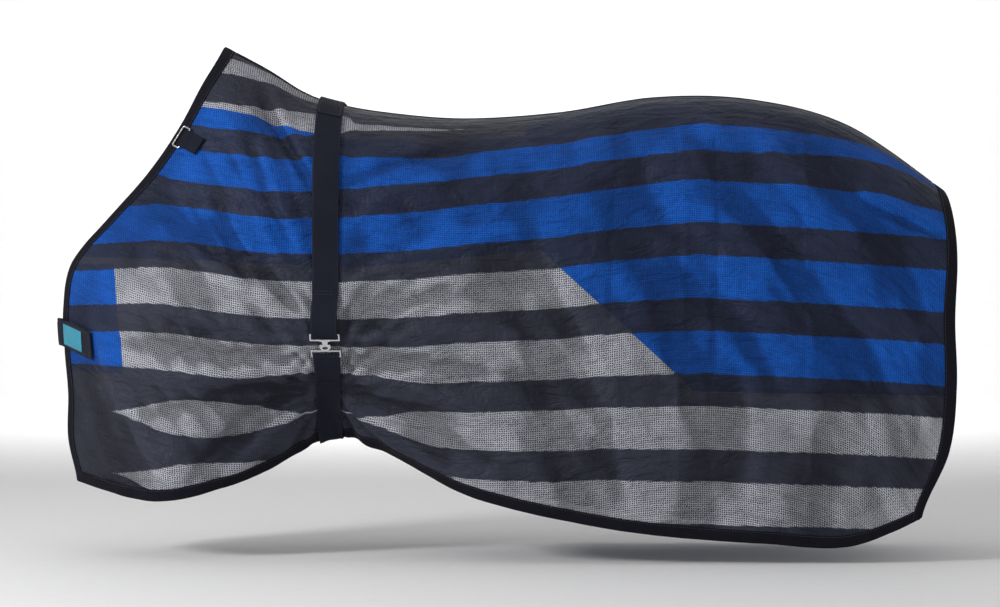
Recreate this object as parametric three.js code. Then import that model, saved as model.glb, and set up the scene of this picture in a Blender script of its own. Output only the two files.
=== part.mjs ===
// A horse's mesh turnout rug, standing in the shape it takes on the horse.
// Millimetres, +Z up, +X towards the tail, the horse's left (near) side at -Y.
// The origin is the inside of the spine seam, under the surcingle.
import * as THREE from 'three';
import { mergeVertices } from 'three/addons/utils/BufferGeometryUtils.js';

// Overall sizes
const rugLength = 1740;
const rugDrop = 858;
const halfWidth = 240;

// Cloth, tapes and webbing
const clothThickness = 2;
const liningThickness = 1.2;
const layerGap = 1.2;
const bindingGap = 1.8;
const seamGap = 0.6;
const tapeThickness = 1;
const bindingWidth = 22;
const spineTapeWidth = 36;
const strapWidth = 50;
const strapThickness = 2.5;
const strapGap = 0.8;

// Metal of the surcingle clip and how its halves sit in the webbing folds
const clipPlate = 3;
const plateBevel = 0.5;
const clipRail = 3;
const clipSideGap = 1.2;
const foldSlack = 0.042;
const foldRoom = clipPlate / 2 + foldSlack * strapWidth;
const slotLength = 8.5;
const hookNeck = 8;
const hookHeadWidth = 23;
const hookHeadLength = 14;
const hookLap = 3;
const hookBarAt = 585;
const plateGap = 0.6;
const foldTail = 38;
const foldRise = 30;
const patchStart = 16;
const patchEnd = 132;
const patchThickness = 1.5;

// Neck rings and their webbing tabs
const ringLength = 46;
const ringWidth = 21;
const ringWire = 3.2;
const ringTabWidth = 36;
const ringTabLength = 42;
const ringTabThickness = 1.5;
const ringTabGap = 0.5;
const ringInset = 31;
const ringDepth = 68;

// Chest closing tab
const chestDepth = 320;
const tabHeight = 54;
const tabReach = 104;
const tabBaseReach = 58;
const tabThickness = 2;
const closureThickness = 1;
const closureHeight = 40;
const closureStart = 46;
const closureLength = 50;
const labelStart = 16;
const labelLength = 60;
const labelHeight = 40;
const tabDepth = 452;
const tabTilt = 0.1;

// Linings
const chestLiningReach = 118;
const chestLiningTop = 330;
const chestLiningHeight = 190;

// Shares of the side's depth: the round of the back, and where the girth starts to tuck in
const crownShare = 0.3;
const tuckStart = 0.6;
const crownSteps = 7;
const flankSteps = 5;
const tuckSteps = 6;
const lengthSteps = 29;
const hemTuck = 0.7;
const hemDraw = 0.04;
const tuckReach = 220;
const neckSpread = 0.5;
const edgeSpread = 0.02;
const hemSpread = 0.1;

const { lerp, clamp, smoothstep } = THREE.MathUtils;
const spread = (from, to, steps) => Array.from({ length: steps + 1 }, (_, i) => lerp(from, to, i / steps));

// The spine and the hem at the same eleven stations, as shares of rugLength and rugDrop.
const stations = [
  { top: [-0.1224, 0.129], hem: [-0.289, -0.869] },
  { top: [-0.0747, 0.077], hem: [-0.19, -0.904] },
  { top: [-0.0345, 0.026], hem: [-0.0862, -0.852] },
  { top: [0, 0], hem: [0, -0.764] },
  { top: [0.0575, -0.022], hem: [0.0575, -0.793] },
  { top: [0.1494, -0.037], hem: [0.1494, -0.882] },
  { top: [0.2586, -0.023], hem: [0.2586, -0.939] },
  { top: [0.3678, 0.012], hem: [0.3678, -0.974] },
  { top: [0.477, 0.007], hem: [0.477, -0.991] },
  { top: [0.5862, -0.052], hem: [0.5747, -1] },
  { top: [0.6937, -0.2], hem: [0.655, -0.938] },
];
// Lengthwise places of the neck and chest edge and of the tail edge, evenly spaced from spine to hem.
const frontEdge = [-0.1224, -0.145, -0.17, -0.205, -0.252, -0.296, -0.306, -0.305, -0.301, -0.3, -0.289];
const tailEdge = [0.6937, 0.6943, 0.691, 0.693, 0.685, 0.655];

const outline = (pairs) =>
  new THREE.SplineCurve(pairs.map(([x, z]) => new THREE.Vector2(x * rugLength, z * rugDrop)));
const edgeOutline = (shares) =>
  new THREE.SplineCurve(shares.map((x, i) => new THREE.Vector2(x * rugLength, i / (shares.length - 1))));
const spineCurve = outline(stations.map((s) => s.top));
const hemCurve = outline(stations.map((s) => s.hem));
const frontCurve = edgeOutline(frontEdge);
const tailCurve = edgeOutline(tailEdge);

// How far the neck and tail edges stand off the straight line between their ends.
function edgeBow(curve, v) {
  return curve.getPoint(v).x - lerp(curve.getPoint(0).x, curve.getPoint(1).x, v);
}

// The smooth left side: u runs from the front edge to the tail, v from the spine to the hem.
function bodyPoint(u, v) {
  const top = spineCurve.getPoint(u);
  const hem = hemCurve.getPoint(u);
  const bow = edgeBow(frontCurve, v) * (1 - u) ** 3 + edgeBow(tailCurve, v) * u ** 6;
  const x = lerp(top.x, hem.x, v) + bow;
  const z = lerp(top.y, hem.y, v);
  const width = halfWidth * (1 - 0.15 * ((x - 0.24 * rugLength) / (0.46 * rugLength)) ** 2);
  const crown = v < crownShare ? Math.sqrt(1 - (1 - v / crownShare) ** 2) : 1;
  const hemShare = 1 - hemTuck * Math.exp(-((x / tuckReach) ** 2)) - hemDraw;
  const under = clamp((v - tuckStart) / (1 - tuckStart), 0, 1);
  const tuck = hemShare + (1 - hemShare) * Math.cos((Math.PI / 2) * under);
  const edgeShare = edgeSpread + (neckSpread - edgeSpread) * (1 - smoothstep(v, 0.26, 0.56))
    + hemSpread * smoothstep(v, 0.75, 1);
  const inside = clamp((x - frontCurve.getPoint(v).x) / chestDepth, 0, 1);
  const front = edgeShare + (1 - edgeShare) * Math.sin((Math.PI / 2) * inside) ** 0.85;
  return new THREE.Vector3(x, -(seamGap / 2 + width * crown * tuck * front), z);
}

// The way out of the cloth, from short steps along and down it. At the spine it leans to neither side.
function bodyNormal(u, v) {
  const step = 1e-3;
  const along = bodyPoint(Math.min(u + step, 1), v).sub(bodyPoint(Math.max(u - step, 0), v));
  const down = bodyPoint(u, Math.min(v + step, 1)).sub(bodyPoint(u, Math.max(v - step, 0)));
  const out = down.cross(along);
  if (v === 0) out.y = 0;
  return out.normalize();
}

// Rows from spine to hem, closer where the cloth turns, and columns from front to tail, with one
// column just inside each edge binding.
const crownRows = spread(0, Math.PI / 2, crownSteps).map((a) => crownShare * (1 - Math.cos(a)));
const flankRows = spread(crownShare, tuckStart, flankSteps).slice(1);
const tuckRows = spread(tuckStart, 1, tuckSteps).slice(1);
const rows = [...crownRows, ...flankRows, ...tuckRows];
const frontColumn = (bindingWidth + 6) / (0.46 * rugLength);
const tailColumn = 1 - (bindingWidth + 9) / rugLength;
const innerColumns = spread(0, 1, lengthSteps).map((c) => lerp(frontColumn, tailColumn, c ** 1.15));
const columns = [0, ...innerColumns, 1];

// Every piece is laid on the same facets: a grid of points and outward ways at the rows and columns.
const grid = columns.map((u) => rows.map((v) => ({ point: bodyPoint(u, v), out: bodyNormal(u, v) })));
function cellAt(list, value) {
  const i = clamp(list.findIndex((edge) => edge > value) - 1, 0, list.length - 2);
  const cell = value >= list.at(-1) ? list.length - 2 : i;
  return [cell, (value - list[cell]) / (list[cell + 1] - list[cell])];
}
// The two faces of the cloth split each four-sided cell along opposite diagonals.
function onSide(u, v, offset) {
  const [i, s] = cellAt(columns, u);
  const [j, t] = cellAt(rows, v);
  const corner = (a, b) => grid[i + a][j + b].point.clone().addScaledVector(grid[i + a][j + b].out, offset);
  const outside = offset > clothThickness / 2;
  const beyond = outside ? s + t > 1 : s > t;
  const weights = outside
    ? beyond ? [0, 1 - t, 1 - s, s + t - 1] : [1 - s - t, s, t, 0]
    : beyond ? [1 - s, s - t, 0, t] : [1 - t, 0, t - s, s];
  const corners = [corner(0, 0), corner(1, 0), corner(0, 1), corner(1, 1)];
  return corners.reduce((sum, point, k) => sum.addScaledVector(point, weights[k]), new THREE.Vector3());
}
const sideOut = (u, v) => onSide(u, v, 1).sub(onSide(u, v, 0)).normalize();

// The value between low and high at which a rising measure reaches its target.
function solve(measure, target, low = 0, high = 1) {
  for (let i = 0; i < 40; i += 1) {
    const middle = (low + high) / 2;
    if (measure(middle) < target) low = middle;
    else high = middle;
  }
  return (low + high) / 2;
}
const uAtX = (x, v) => solve((u) => onSide(u, v, 0).x, x);
const vAtZ = (u, z) => solve((v) => -onSide(u, v, 0).z, -z);

// Bends a geometry by moving each vertex, and keeps its faces pointing out.
function bend(geometry, place) {
  geometry.deleteAttribute('normal');
  geometry.deleteAttribute('uv');
  const bent = mergeVertices(geometry, 1e-4);
  const position = bent.getAttribute('position');
  for (let i = 0; i < position.count; i += 1) {
    const p = place(position.getX(i), position.getY(i), position.getZ(i));
    position.setXYZ(i, p.x, p.y, p.z);
  }
  const index = bent.getIndex();
  const corner = (i) => new THREE.Vector3().fromBufferAttribute(position, index.getX(i));
  let volume = 0;
  for (let i = 0; i < index.count; i += 3) {
    volume += corner(i).dot(corner(i + 1).cross(corner(i + 2)));
  }
  for (let i = 0; i < index.count && volume < 0; i += 3) {
    const first = index.getX(i);
    index.setX(i, index.getX(i + 1));
    index.setX(i + 1, first);
  }
  bent.computeVertexNormals();
  return bent;
}

// A slab over lists of places across and down, at(across, down, offset) giving each point.
function slab(across, down, inner, outer, at) {
  const box = new THREE.BoxGeometry(1, 1, 1, across.length - 1, down.length - 1, 1);
  return bend(box, (x, y, z) => {
    const i = Math.round((x + 0.5) * (across.length - 1));
    const j = Math.round((0.5 - y) * (down.length - 1));
    return at(across[i], down[j], z > 0 ? outer : inner);
  });
}

// Places to put a vertex between two ends: the ends, and the fold lines of the cloth between them.
function stops(from, to, lines, room) {
  return [from, ...lines.filter((line) => line > from + room && line < to - room), to];
}

// Materials
const finish = (color, roughness, metalness = 0) =>
  new THREE.MeshStandardMaterial({ color, roughness, metalness });
const meshCloth = finish(0x55586a, 0.8);
const liningCloth = finish(0x16489a, 0.55);
const tape = finish(0x1b1d27, 0.85);
const webbing = finish(0x23252e, 0.8);
const closureTape = finish(0x14151b, 0.95);
const labelCloth = finish(0x0d829b, 0.6);
const metal = finish(0xc9cbd0, 0.25, 1);

const rug = new THREE.Group();
function add(name, geometry, material, parent = rug) {
  const mesh = new THREE.Mesh(geometry, material);
  mesh.name = name;
  parent.add(mesh);
  return mesh;
}
// The right side's pieces are the left side's, mirrored in the spine plane.
const rightSide = new THREE.Group();
rightSide.scale.set(1, -1, 1);
rug.add(rightSide);
function addPair(name, geometry, material) {
  add(`left_${name}`, geometry, material);
  add(`right_${name}`, geometry, material, rightSide);
}

// Side panels
addPair('side_panel', slab(columns, rows, 0, clothThickness, onSide), meshCloth);

// Places measured in from an edge of the cloth: inward(distance) gives u and v. A negative distance
// stands out past the edge, straight on from the cloth.
function inwardFrom(at) {
  const edge = onSide(...at(0), 0);
  const away = (t) => onSide(...at(t), 0).distanceTo(edge);
  return (distance) => at(distance > 0 ? solve(away, distance, 0, 0.3) : 0);
}
const frontIn = (v) => inwardFrom((t) => [t, v]);
const tailIn = (v) => inwardFrom((t) => [1 - t, v]);
const hemIn = (u) => inwardFrom((t) => [u, 1 - t]);
function edgeWay(inward, offset) {
  return onSide(...inward(0), offset).sub(onSide(...inward(4), offset)).normalize();
}
function place(inward, distance, offset) {
  if (distance >= 0) return onSide(...inward(distance), offset);
  return onSide(...inward(0), offset).addScaledVector(edgeWay(inward, offset), -distance);
}

// Edge binding: a tape folded round the edge, with a leg on each face of the cloth
const bindingOuter = clothThickness + bindingGap;
const bindingTop = bindingOuter + tapeThickness;
function bindingGeometry(marks, inwardAt) {
  const shape = new THREE.Shape();
  shape.moveTo(bindingWidth, bindingOuter);
  shape.lineTo(bindingWidth, bindingTop);
  shape.lineTo(-bindingGap - tapeThickness, bindingTop);
  shape.lineTo(-bindingGap - tapeThickness, -bindingGap - tapeThickness);
  shape.lineTo(bindingWidth, -bindingGap - tapeThickness);
  shape.lineTo(bindingWidth, -bindingGap);
  shape.lineTo(-bindingGap, -bindingGap);
  shape.lineTo(-bindingGap, bindingOuter);
  const steps = marks.length - 1;
  const straight = new THREE.ExtrudeGeometry(shape, { depth: 1, steps, bevelEnabled: false });
  return bend(straight, (distance, offset, along) =>
    place(inwardAt(marks[Math.round(along * steps)]), distance, offset));
}
const cornerRoom = bindingWidth + 2 * bindingGap;
const shortStep = 0.006;
addPair('front_binding', bindingGeometry(rows, frontIn), tape);
addPair('tail_binding', bindingGeometry(rows, tailIn), tape);
const hemMarks = stops(frontIn(1)(cornerRoom)[0], tailIn(1)(cornerRoom)[0], columns, shortStep);
const hemSteps = hemMarks.flatMap((u, i) => (i ? spread(hemMarks[i - 1], u, 4).slice(1) : [u]));
addPair('hem_binding', bindingGeometry(hemSteps, hemIn), tape);

// Spine tape over the seam between the side panels
function onSpine(u, across, offset) {
  const inward = inwardFrom((t) => [u, t]);
  const point = onSide(...inward(Math.abs(across)), offset);
  if (across === 0) point.y = 0;
  if (across > 0) point.y = -point.y;
  return point;
}
const spineMarks = stops(frontIn(0)(cornerRoom)[0], tailIn(0)(cornerRoom)[0], columns, shortStep);
const spineAcross = spread(-spineTapeWidth / 2, spineTapeWidth / 2, 4);
add('spine_tape', slab(spineMarks, spineAcross, bindingOuter, bindingTop, onSpine), tape);

// Back lining: from just below the spine to the elbow at the front, and lower over the quarters.
// Its last rows run with its lower edge.
const liningInner = -layerGap - liningThickness;
const liningRows = [...crownRows.slice(1), ...spread(1, 2, 5)];
const liningLow = (u) =>
  lerp(0.47 - 0.05 * smoothstep(u, 0, 0.3), 0.66, smoothstep(u, 0.5, 0.64)) - 0.1 * smoothstep(u, 0.8, 1);
const liningInset = bindingWidth + 4;
addPair('back_lining', slab(innerColumns, liningRows, liningInner, -layerGap, (u, row, offset) => {
  const v = row < 1 ? row : lerp(crownShare + 0.02, liningLow(u), row - 1);
  if (u === frontColumn) return place(frontIn(v), liningInset, offset);
  if (u === tailColumn) return place(tailIn(v), liningInset, offset);
  return onSide(u, v, offset);
}), liningCloth);

// Chest lining: a rectangle behind the closure, hung in the first columns
const chestIn = frontIn(tuckStart);
const chestColumns = stops(chestIn(liningInset)[0], chestIn(chestLiningReach)[0], columns, shortStep);
const chestRows = spread(-chestLiningTop, -chestLiningTop - chestLiningHeight, 4);
addPair('chest_lining', slab(chestColumns, chestRows, liningInner, -layerGap, (u, z, offset) =>
  onSide(u, vAtZ(u, z), offset)), liningCloth);

// The girth line: the way round the body under the surcingle, measured from the spine down the left
// side, under the belly and up the right side.
const girthTable = [];
rows.forEach((v, i) => {
  const point = onSide(uAtX(0, v), v, 0);
  const before = girthTable[i - 1];
  girthTable.push({ v, point, length: before ? before.length + point.distanceTo(before.point) : 0 });
});
const girthFolds = girthTable.map((row) => row.length);
const sideGirth = girthFolds.at(-1);
const hemHalf = -girthTable.at(-1).point.y;
const girthMiddle = sideGirth + hemHalf;
function girthV(length) {
  const [i, t] = cellAt(girthFolds, length);
  return lerp(rows[i], rows[i + 1], t);
}
function onGirth(x, length, offset) {
  if (length > girthMiddle) {
    const mirrored = onGirth(x, 2 * girthMiddle - length, offset);
    mirrored.y = -mirrored.y;
    return mirrored;
  }
  const v = girthV(Math.min(length, sideGirth));
  const uHere = uAtX(x, v);
  // Down the flank each row of webbing lies level, and elsewhere it follows the cloth.
  const level = smoothstep(length, 300, 420) * (1 - smoothstep(length, sideGirth - 120, sideGirth - 40));
  const vLevel = vAtZ(uHere, onSide(uAtX(0, v), v, 0).z);
  const vHere = lerp(v, vLevel, level);
  const point = onSide(uAtX(x, vHere), vHere, offset);
  if (length > sideGirth) point.y *= (girthMiddle - length) / hemHalf;
  return point;
}

// Webbing of a width and thickness along a centre line of (length, height) points.
function ribbon(path, width, thickness, at) {
  const box = new THREE.BoxGeometry(1, 1, 1, path.length - 1, 2, 1);
  return bend(box, (x, y, z) => {
    const i = Math.round((x + 0.5) * (path.length - 1));
    const before = path[Math.max(i - 1, 0)];
    const after = path[Math.min(i + 1, path.length - 1)];
    const way = new THREE.Vector2().subVectors(after, before).normalize();
    return at(y * width, path[i].x - way.y * z * thickness, path[i].y + way.x * z * thickness);
  });
}
const at2 = (x, y) => new THREE.Vector2(x, y);
const turn = (x, y, radius, from, to) =>
  spread(from, to, 8).map((a) => at2(x + radius * Math.cos(a), y + radius * Math.sin(a)));
const strapGeometry = (path) => ribbon(path, strapWidth, strapThickness, onGirth);

// Surcingle webbing: it rides over the binding, and folds round a rail of the clip at the flank
const strapRide = bindingTop + strapGap + strapThickness / 2;
const foldRadius = foldRoom + strapThickness / 2;
const plateHeight = strapRide + foldRadius;
const hookHeight = plateHeight + clipPlate + plateGap;
const clipLength = 2 * slotLength + 4 * clipRail + hookNeck + hookHeadLength - hookLap;
const plateBarAt = hookBarAt + clipLength - clipRail;
const hemRide = strapRide + bindingGap + tapeThickness;
// A fold round a bar at the given height, coming down to it from above.
const foldDown = (barAt, height) => [
  at2(barAt - foldTail - foldRise, strapRide),
  at2(barAt - foldTail, strapRide + strapThickness + 1.2),
  at2(barAt - foldTail * 0.4, height + foldRadius),
  ...turn(barAt, height, foldRadius, Math.PI / 2, -Math.PI / 2),
  at2(barAt - foldTail * 0.4, height - foldRadius),
  at2(barAt - foldTail + 4, strapRide),
];
const hookFold = foldDown(hookBarAt, hookHeight);
const plateFold = foldDown(plateBarAt, plateHeight).map((p) => at2(2 * plateBarAt - p.x, p.y)).reverse();
const ride = (from, to) => stops(from, to, girthFolds, 8).map((length) => at2(length, strapRide));
const spineRoom = 2;
const upperPath = [...ride(spineRoom, hookFold[0].x - 8), ...hookFold];
add('surcingle_upper_strap', strapGeometry(upperPath), webbing);

const farSide = (path) => path.map((p) => at2(2 * girthMiddle - p.x, p.y)).reverse();
const lowerPath = [
  ...plateFold,
  ...ride(plateFold.at(-1).x + 8, sideGirth - bindingWidth),
  at2(sideGirth, hemRide),
  at2(girthMiddle, hemRide),
  at2(2 * girthMiddle - sideGirth, hemRide),
  ...farSide(ride(spineRoom, sideGirth - bindingWidth)),
];
add('surcingle_lower_strap', strapGeometry(lowerPath), webbing);

// Doubled webbing that anchors each strap beside the spine
const patchInner = strapRide + strapThickness / 2 + strapGap;
const patchRows = stops(patchStart, patchEnd, girthFolds, 1);
addPair('anchor_patch', slab(
  spread(-strapWidth / 2, strapWidth / 2, 2), patchRows, patchInner, patchInner + patchThickness, onGirth,
), webbing);

// A group whose X runs along the given way, Z out of the cloth, and Y square to both.
function frameAt(origin, alongWay, outWay, parent = rug) {
  const out = outWay.clone().normalize();
  const x = alongWay.clone().addScaledVector(out, -alongWay.dot(out)).normalize();
  const group = new THREE.Group();
  group.matrixAutoUpdate = false;
  group.matrix.makeBasis(x, out.clone().cross(x), out).setPosition(origin);
  parent.add(group);
  return group;
}

// A rectangle with rounded corners, centred on (x, y), drawn on a shape or a hole.
function roundedBox(path, x, y, width, height, radius) {
  const [l, r, b, t] = [x - width / 2, x + width / 2, y - height / 2, y + height / 2];
  path.moveTo(l + radius, b);
  path.lineTo(r - radius, b);
  path.absarc(r - radius, b + radius, radius, -Math.PI / 2, 0);
  path.absarc(r - radius, t - radius, radius, 0, Math.PI / 2);
  path.absarc(l + radius, t - radius, radius, Math.PI / 2, Math.PI);
  path.absarc(l + radius, b + radius, radius, Math.PI, 1.5 * Math.PI);
  return path;
}

// Surcingle clip. In its frame X runs across the webbing, Y up the side, and the webbing folds lie at
// Y = halfClip and Y = -halfClip.
const hookBar = onGirth(0, hookBarAt, plateHeight);
const plateBar = onGirth(0, plateBarAt, plateHeight);
const halfClip = hookBar.distanceTo(plateBar) / 2;
const clipUp = hookBar.clone().sub(plateBar);
const clipAcross = onGirth(10, hookBarAt, plateHeight).sub(onGirth(-10, hookBarAt, plateHeight));
const clipFrame = frameAt(hookBar.lerp(plateBar, 0.5), clipAcross, clipAcross.clone().cross(clipUp));
const slotWidth = strapWidth + 2 * clipSideGap;
const loopWidth = slotWidth + 2 * clipRail;
const slotMiddle = halfClip - (slotLength + clipRail) / 2;

// The hook is one stamping: a loop for the webbing, a neck, and a head with an eye.
function hookGeometry() {
  const rail = halfClip - slotLength - 1.5 * clipRail;
  const neckEnd = rail - hookNeck;
  const headEnd = neckEnd - hookHeadLength;
  const widest = neckEnd - hookHeadLength * 0.35;
  const top = halfClip + clipRail / 2;
  const half = (sign) => [
    at2(sign * loopWidth * 0.22, rail),
    at2(sign * hookHeadWidth * 0.26, rail - 2),
    at2(sign * hookHeadWidth * 0.2, neckEnd),
    at2(sign * hookHeadWidth * 0.42, neckEnd + 0.5),
    at2(sign * hookHeadWidth * 0.5, widest),
    at2(sign * hookHeadWidth * 0.34, headEnd + 3.5),
    at2(sign * hookHeadWidth * 0.14, headEnd),
  ];
  const shape = new THREE.Shape([
    at2(-loopWidth / 2, top), at2(-loopWidth / 2, rail), ...half(-1),
    ...half(1).reverse(), at2(loopWidth / 2, rail), at2(loopWidth / 2, top),
  ]);
  shape.holes.push(roundedBox(new THREE.Path(), 0, slotMiddle, slotWidth, slotLength, 1));
  const eye = new THREE.Path();
  eye.absellipse(0, neckEnd - hookHeadLength * 0.48, hookHeadWidth * 0.24, hookHeadLength * 0.22, 0, 2 * Math.PI);
  shape.holes.push(eye);
  const solid = new THREE.ExtrudeGeometry(shape, { depth: clipPlate, curveSegments: 6, bevelEnabled: false });
  return solid.translate(0, 0, clipPlate / 2 + plateGap);
}
add('surcingle_hook', hookGeometry(), metal, clipFrame);

// The plate is a loop for the other fold. The hook's head laps over its upper rail.
function plateGeometry() {
  const shape = new THREE.Shape();
  roundedBox(shape, 0, -slotMiddle, loopWidth, slotLength + 2 * clipRail, 2.5);
  shape.holes.push(roundedBox(new THREE.Path(), 0, -slotMiddle, slotWidth, slotLength, 1));
  const solid = new THREE.ExtrudeGeometry(shape, {
    depth: clipPlate - 2 * plateBevel,
    curveSegments: 6,
    bevelThickness: plateBevel,
    bevelSize: plateBevel,
    bevelOffset: -plateBevel,
    bevelSegments: 1,
  });
  return solid.translate(0, 0, plateBevel - clipPlate / 2);
}
add('surcingle_plate', plateGeometry(), metal, clipFrame);

// Neck rings: a wire loop in a folded webbing tab, lying towards the neck edge. In the ring's frame
// X runs along the neck edge, Y away from it, and the held bar lies on X.
const ringV = vAtZ(0, -ringDepth);
const ringPlace = frontIn(ringV)(ringInset);
const ringEdgeWay = onSide(0, ringV + 0.02, 0).sub(onSide(0, ringV - 0.02, 0));
const ringFoldRadius = ringWire / 2 + ringTabGap + ringTabThickness / 2;
const ringHeight = bindingOuter + strapGap + ringTabThickness / 2 + ringFoldRadius;
const ringOrigin = onSide(...ringPlace, ringHeight);
const ringFrame = (parent) => frameAt(ringOrigin, ringEdgeWay, sideOut(...ringPlace), parent);

function ringGeometry() {
  const middle = -(ringWidth - ringWire) / 2;
  const bevel = ringWire * 0.29;
  const shape = roundedBox(new THREE.Shape(), 0, middle, ringLength, ringWidth, 4);
  const [innerLength, innerWidth] = [ringLength - 2 * ringWire, ringWidth - 2 * ringWire];
  shape.holes.push(roundedBox(new THREE.Path(), 0, middle, innerLength, innerWidth, 1.6));
  const solid = new THREE.ExtrudeGeometry(shape, {
    depth: ringWire - 2 * bevel,
    curveSegments: 3,
    bevelThickness: bevel,
    bevelSize: bevel,
    bevelOffset: -bevel,
    bevelSegments: 1,
  });
  return solid.translate(0, 0, bevel - ringWire / 2);
}
function ringTabGeometry() {
  const low = -ringFoldRadius;
  const laid = low + ringTabThickness + strapGap;
  const path = [
    at2(ringTabLength, low),
    at2(8, low),
    ...turn(0, 0, ringFoldRadius, 1.5 * Math.PI, 0.5 * Math.PI),
    at2(5, ringFoldRadius - 0.4),
    at2(14, laid),
    at2(ringTabLength, laid),
  ];
  return ribbon(path, ringTabWidth, ringTabThickness, (x, y, z) => new THREE.Vector3(x, y, z));
}
for (const [side, parent] of [['left', rug], ['right', rightSide]]) {
  const frame = ringFrame(parent);
  add(`${side}_neck_ring`, ringGeometry(), metal, frame);
  add(`${side}_ring_tab`, ringTabGeometry(), webbing, frame);
}

// Chest closure: the base is sewn to the right edge, and the tab swings from it across the chest onto
// the left side, where its hook strip lands on the loop strip.
const loopInner = bindingOuter;
const hookInner = loopInner + closureThickness + strapGap;
const tabInner = hookInner + closureThickness + strapGap;
const labelInner = tabInner + tabThickness + strapGap;
function onChest(distance, height, offset) {
  const z = -tabDepth + height - tabTilt * Math.max(distance, 0);
  const v = vAtZ(0, z);
  const inward = frontIn(v);
  if (distance >= 0) return place(inward, distance, offset);
  // The closure's own edge lies in the plane where left and right meet.
  const edge = onSide(0, v, offset);
  const way = edgeWay(inward, offset);
  return edge.addScaledVector(way, (-seamGap / 2 - edge.y) / way.y);
}
const chestFolds = columns.map((u) => onSide(u, tuckStart, 0).distanceTo(onSide(0, tuckStart, 0)));
function chestSlab(from, to, height, inner, thickness) {
  const across = from < 0 ? [-1, ...stops(0, to, chestFolds, 6)] : stops(from, to, chestFolds, 6);
  return slab(across, spread(height / 2, -height / 2, 2), inner, inner + thickness, onChest);
}
add('chest_tab', chestSlab(-1, tabReach, tabHeight, tabInner, tabThickness), webbing);
add('chest_tab_base', chestSlab(-1, tabBaseReach, tabHeight, tabInner, tabThickness), webbing, rightSide);
add('chest_tab_label', chestSlab(labelStart, labelStart + labelLength, labelHeight, labelInner, closureThickness),
  labelCloth);
const closureEnd = closureStart + closureLength;
add('chest_loop_strip', chestSlab(closureStart, closureEnd, closureHeight, loopInner, closureThickness), closureTape);
add('chest_hook_strip', chestSlab(closureStart, closureEnd, closureHeight, hookInner, closureThickness), closureTape);

export default rug;
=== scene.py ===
import math

import bmesh
import bpy
import numpy as np
from bpy.props import FloatProperty, FloatVectorProperty, PointerProperty
from mathutils import Matrix, Vector


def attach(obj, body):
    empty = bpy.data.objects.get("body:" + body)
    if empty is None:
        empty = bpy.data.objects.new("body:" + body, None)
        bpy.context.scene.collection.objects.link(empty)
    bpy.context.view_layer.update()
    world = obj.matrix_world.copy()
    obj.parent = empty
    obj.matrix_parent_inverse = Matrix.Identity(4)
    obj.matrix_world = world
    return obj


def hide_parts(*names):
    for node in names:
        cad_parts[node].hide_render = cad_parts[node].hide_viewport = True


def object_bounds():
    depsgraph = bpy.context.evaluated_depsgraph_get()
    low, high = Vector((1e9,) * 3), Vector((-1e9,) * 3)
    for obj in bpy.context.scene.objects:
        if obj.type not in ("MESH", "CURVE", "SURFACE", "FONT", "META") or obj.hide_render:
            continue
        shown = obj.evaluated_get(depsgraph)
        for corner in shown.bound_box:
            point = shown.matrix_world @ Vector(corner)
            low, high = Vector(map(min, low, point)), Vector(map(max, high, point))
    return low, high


bl_info = {
    "name": "Mesh Turnout Rug",
    "version": (1, 0, 0),
    "blender": (4, 5, 0),
    "location": "3D View > Sidebar > Rug",
    "description": "Cloth, tapes, webbing and fittings of a striped mesh rug, made round its fixed frame",
    "category": "Object",
}

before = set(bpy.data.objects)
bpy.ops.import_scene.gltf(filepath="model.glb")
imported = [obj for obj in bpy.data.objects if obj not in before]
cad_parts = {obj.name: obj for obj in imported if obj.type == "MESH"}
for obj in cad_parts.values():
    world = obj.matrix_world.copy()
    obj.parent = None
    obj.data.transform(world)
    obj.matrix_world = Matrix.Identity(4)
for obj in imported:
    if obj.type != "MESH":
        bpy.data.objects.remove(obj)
cad_low, cad_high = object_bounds()

MM = 0.001
LEFT, RIGHT = -1, 1

# The cut of one side of the rug, in metres
RUG_LENGTH = 1.74
RUG_DROP = 0.858
HALF_WIDTH = 0.24
SEAM_GAP = 0.6 * MM
CROWN_SHARE = 0.3
TUCK_START = 0.6
HEM_TUCK = 0.7
HEM_DRAW = 0.04
TUCK_REACH = 0.22
NECK_SPREAD = 0.5
EDGE_SPREAD = 0.02
HEM_SPREAD = 0.1
CHEST_DEPTH = 0.32
# Places from front to tail: spine x and z, then hem x and z, as shares of length and drop
STATIONS = np.array([
    (-0.1224, 0.129, -0.289, -0.869), (-0.0747, 0.077, -0.19, -0.904), (-0.0345, 0.026, -0.0862, -0.852),
    (0, 0, 0, -0.764), (0.0575, -0.022, 0.0575, -0.793), (0.1494, -0.037, 0.1494, -0.882),
    (0.2586, -0.023, 0.2586, -0.939), (0.3678, 0.012, 0.3678, -0.974), (0.477, 0.007, 0.477, -0.991),
    (0.5862, -0.052, 0.5747, -1), (0.6937, -0.2, 0.655, -0.938),
]) * (RUG_LENGTH, RUG_DROP, RUG_LENGTH, RUG_DROP)
FRONT_EDGE = RUG_LENGTH * np.array(
    [-0.1224, -0.145, -0.17, -0.205, -0.252, -0.296, -0.306, -0.305, -0.301, -0.3, -0.289])
TAIL_EDGE = RUG_LENGTH * np.array([0.6937, 0.6943, 0.691, 0.693, 0.685, 0.655])

# Heights off the inner face of the cloth
CLOTH_OUT = 2 * MM
BINDING_WIDTH = 22 * MM
STRAP_WIDTH = 50 * MM

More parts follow.
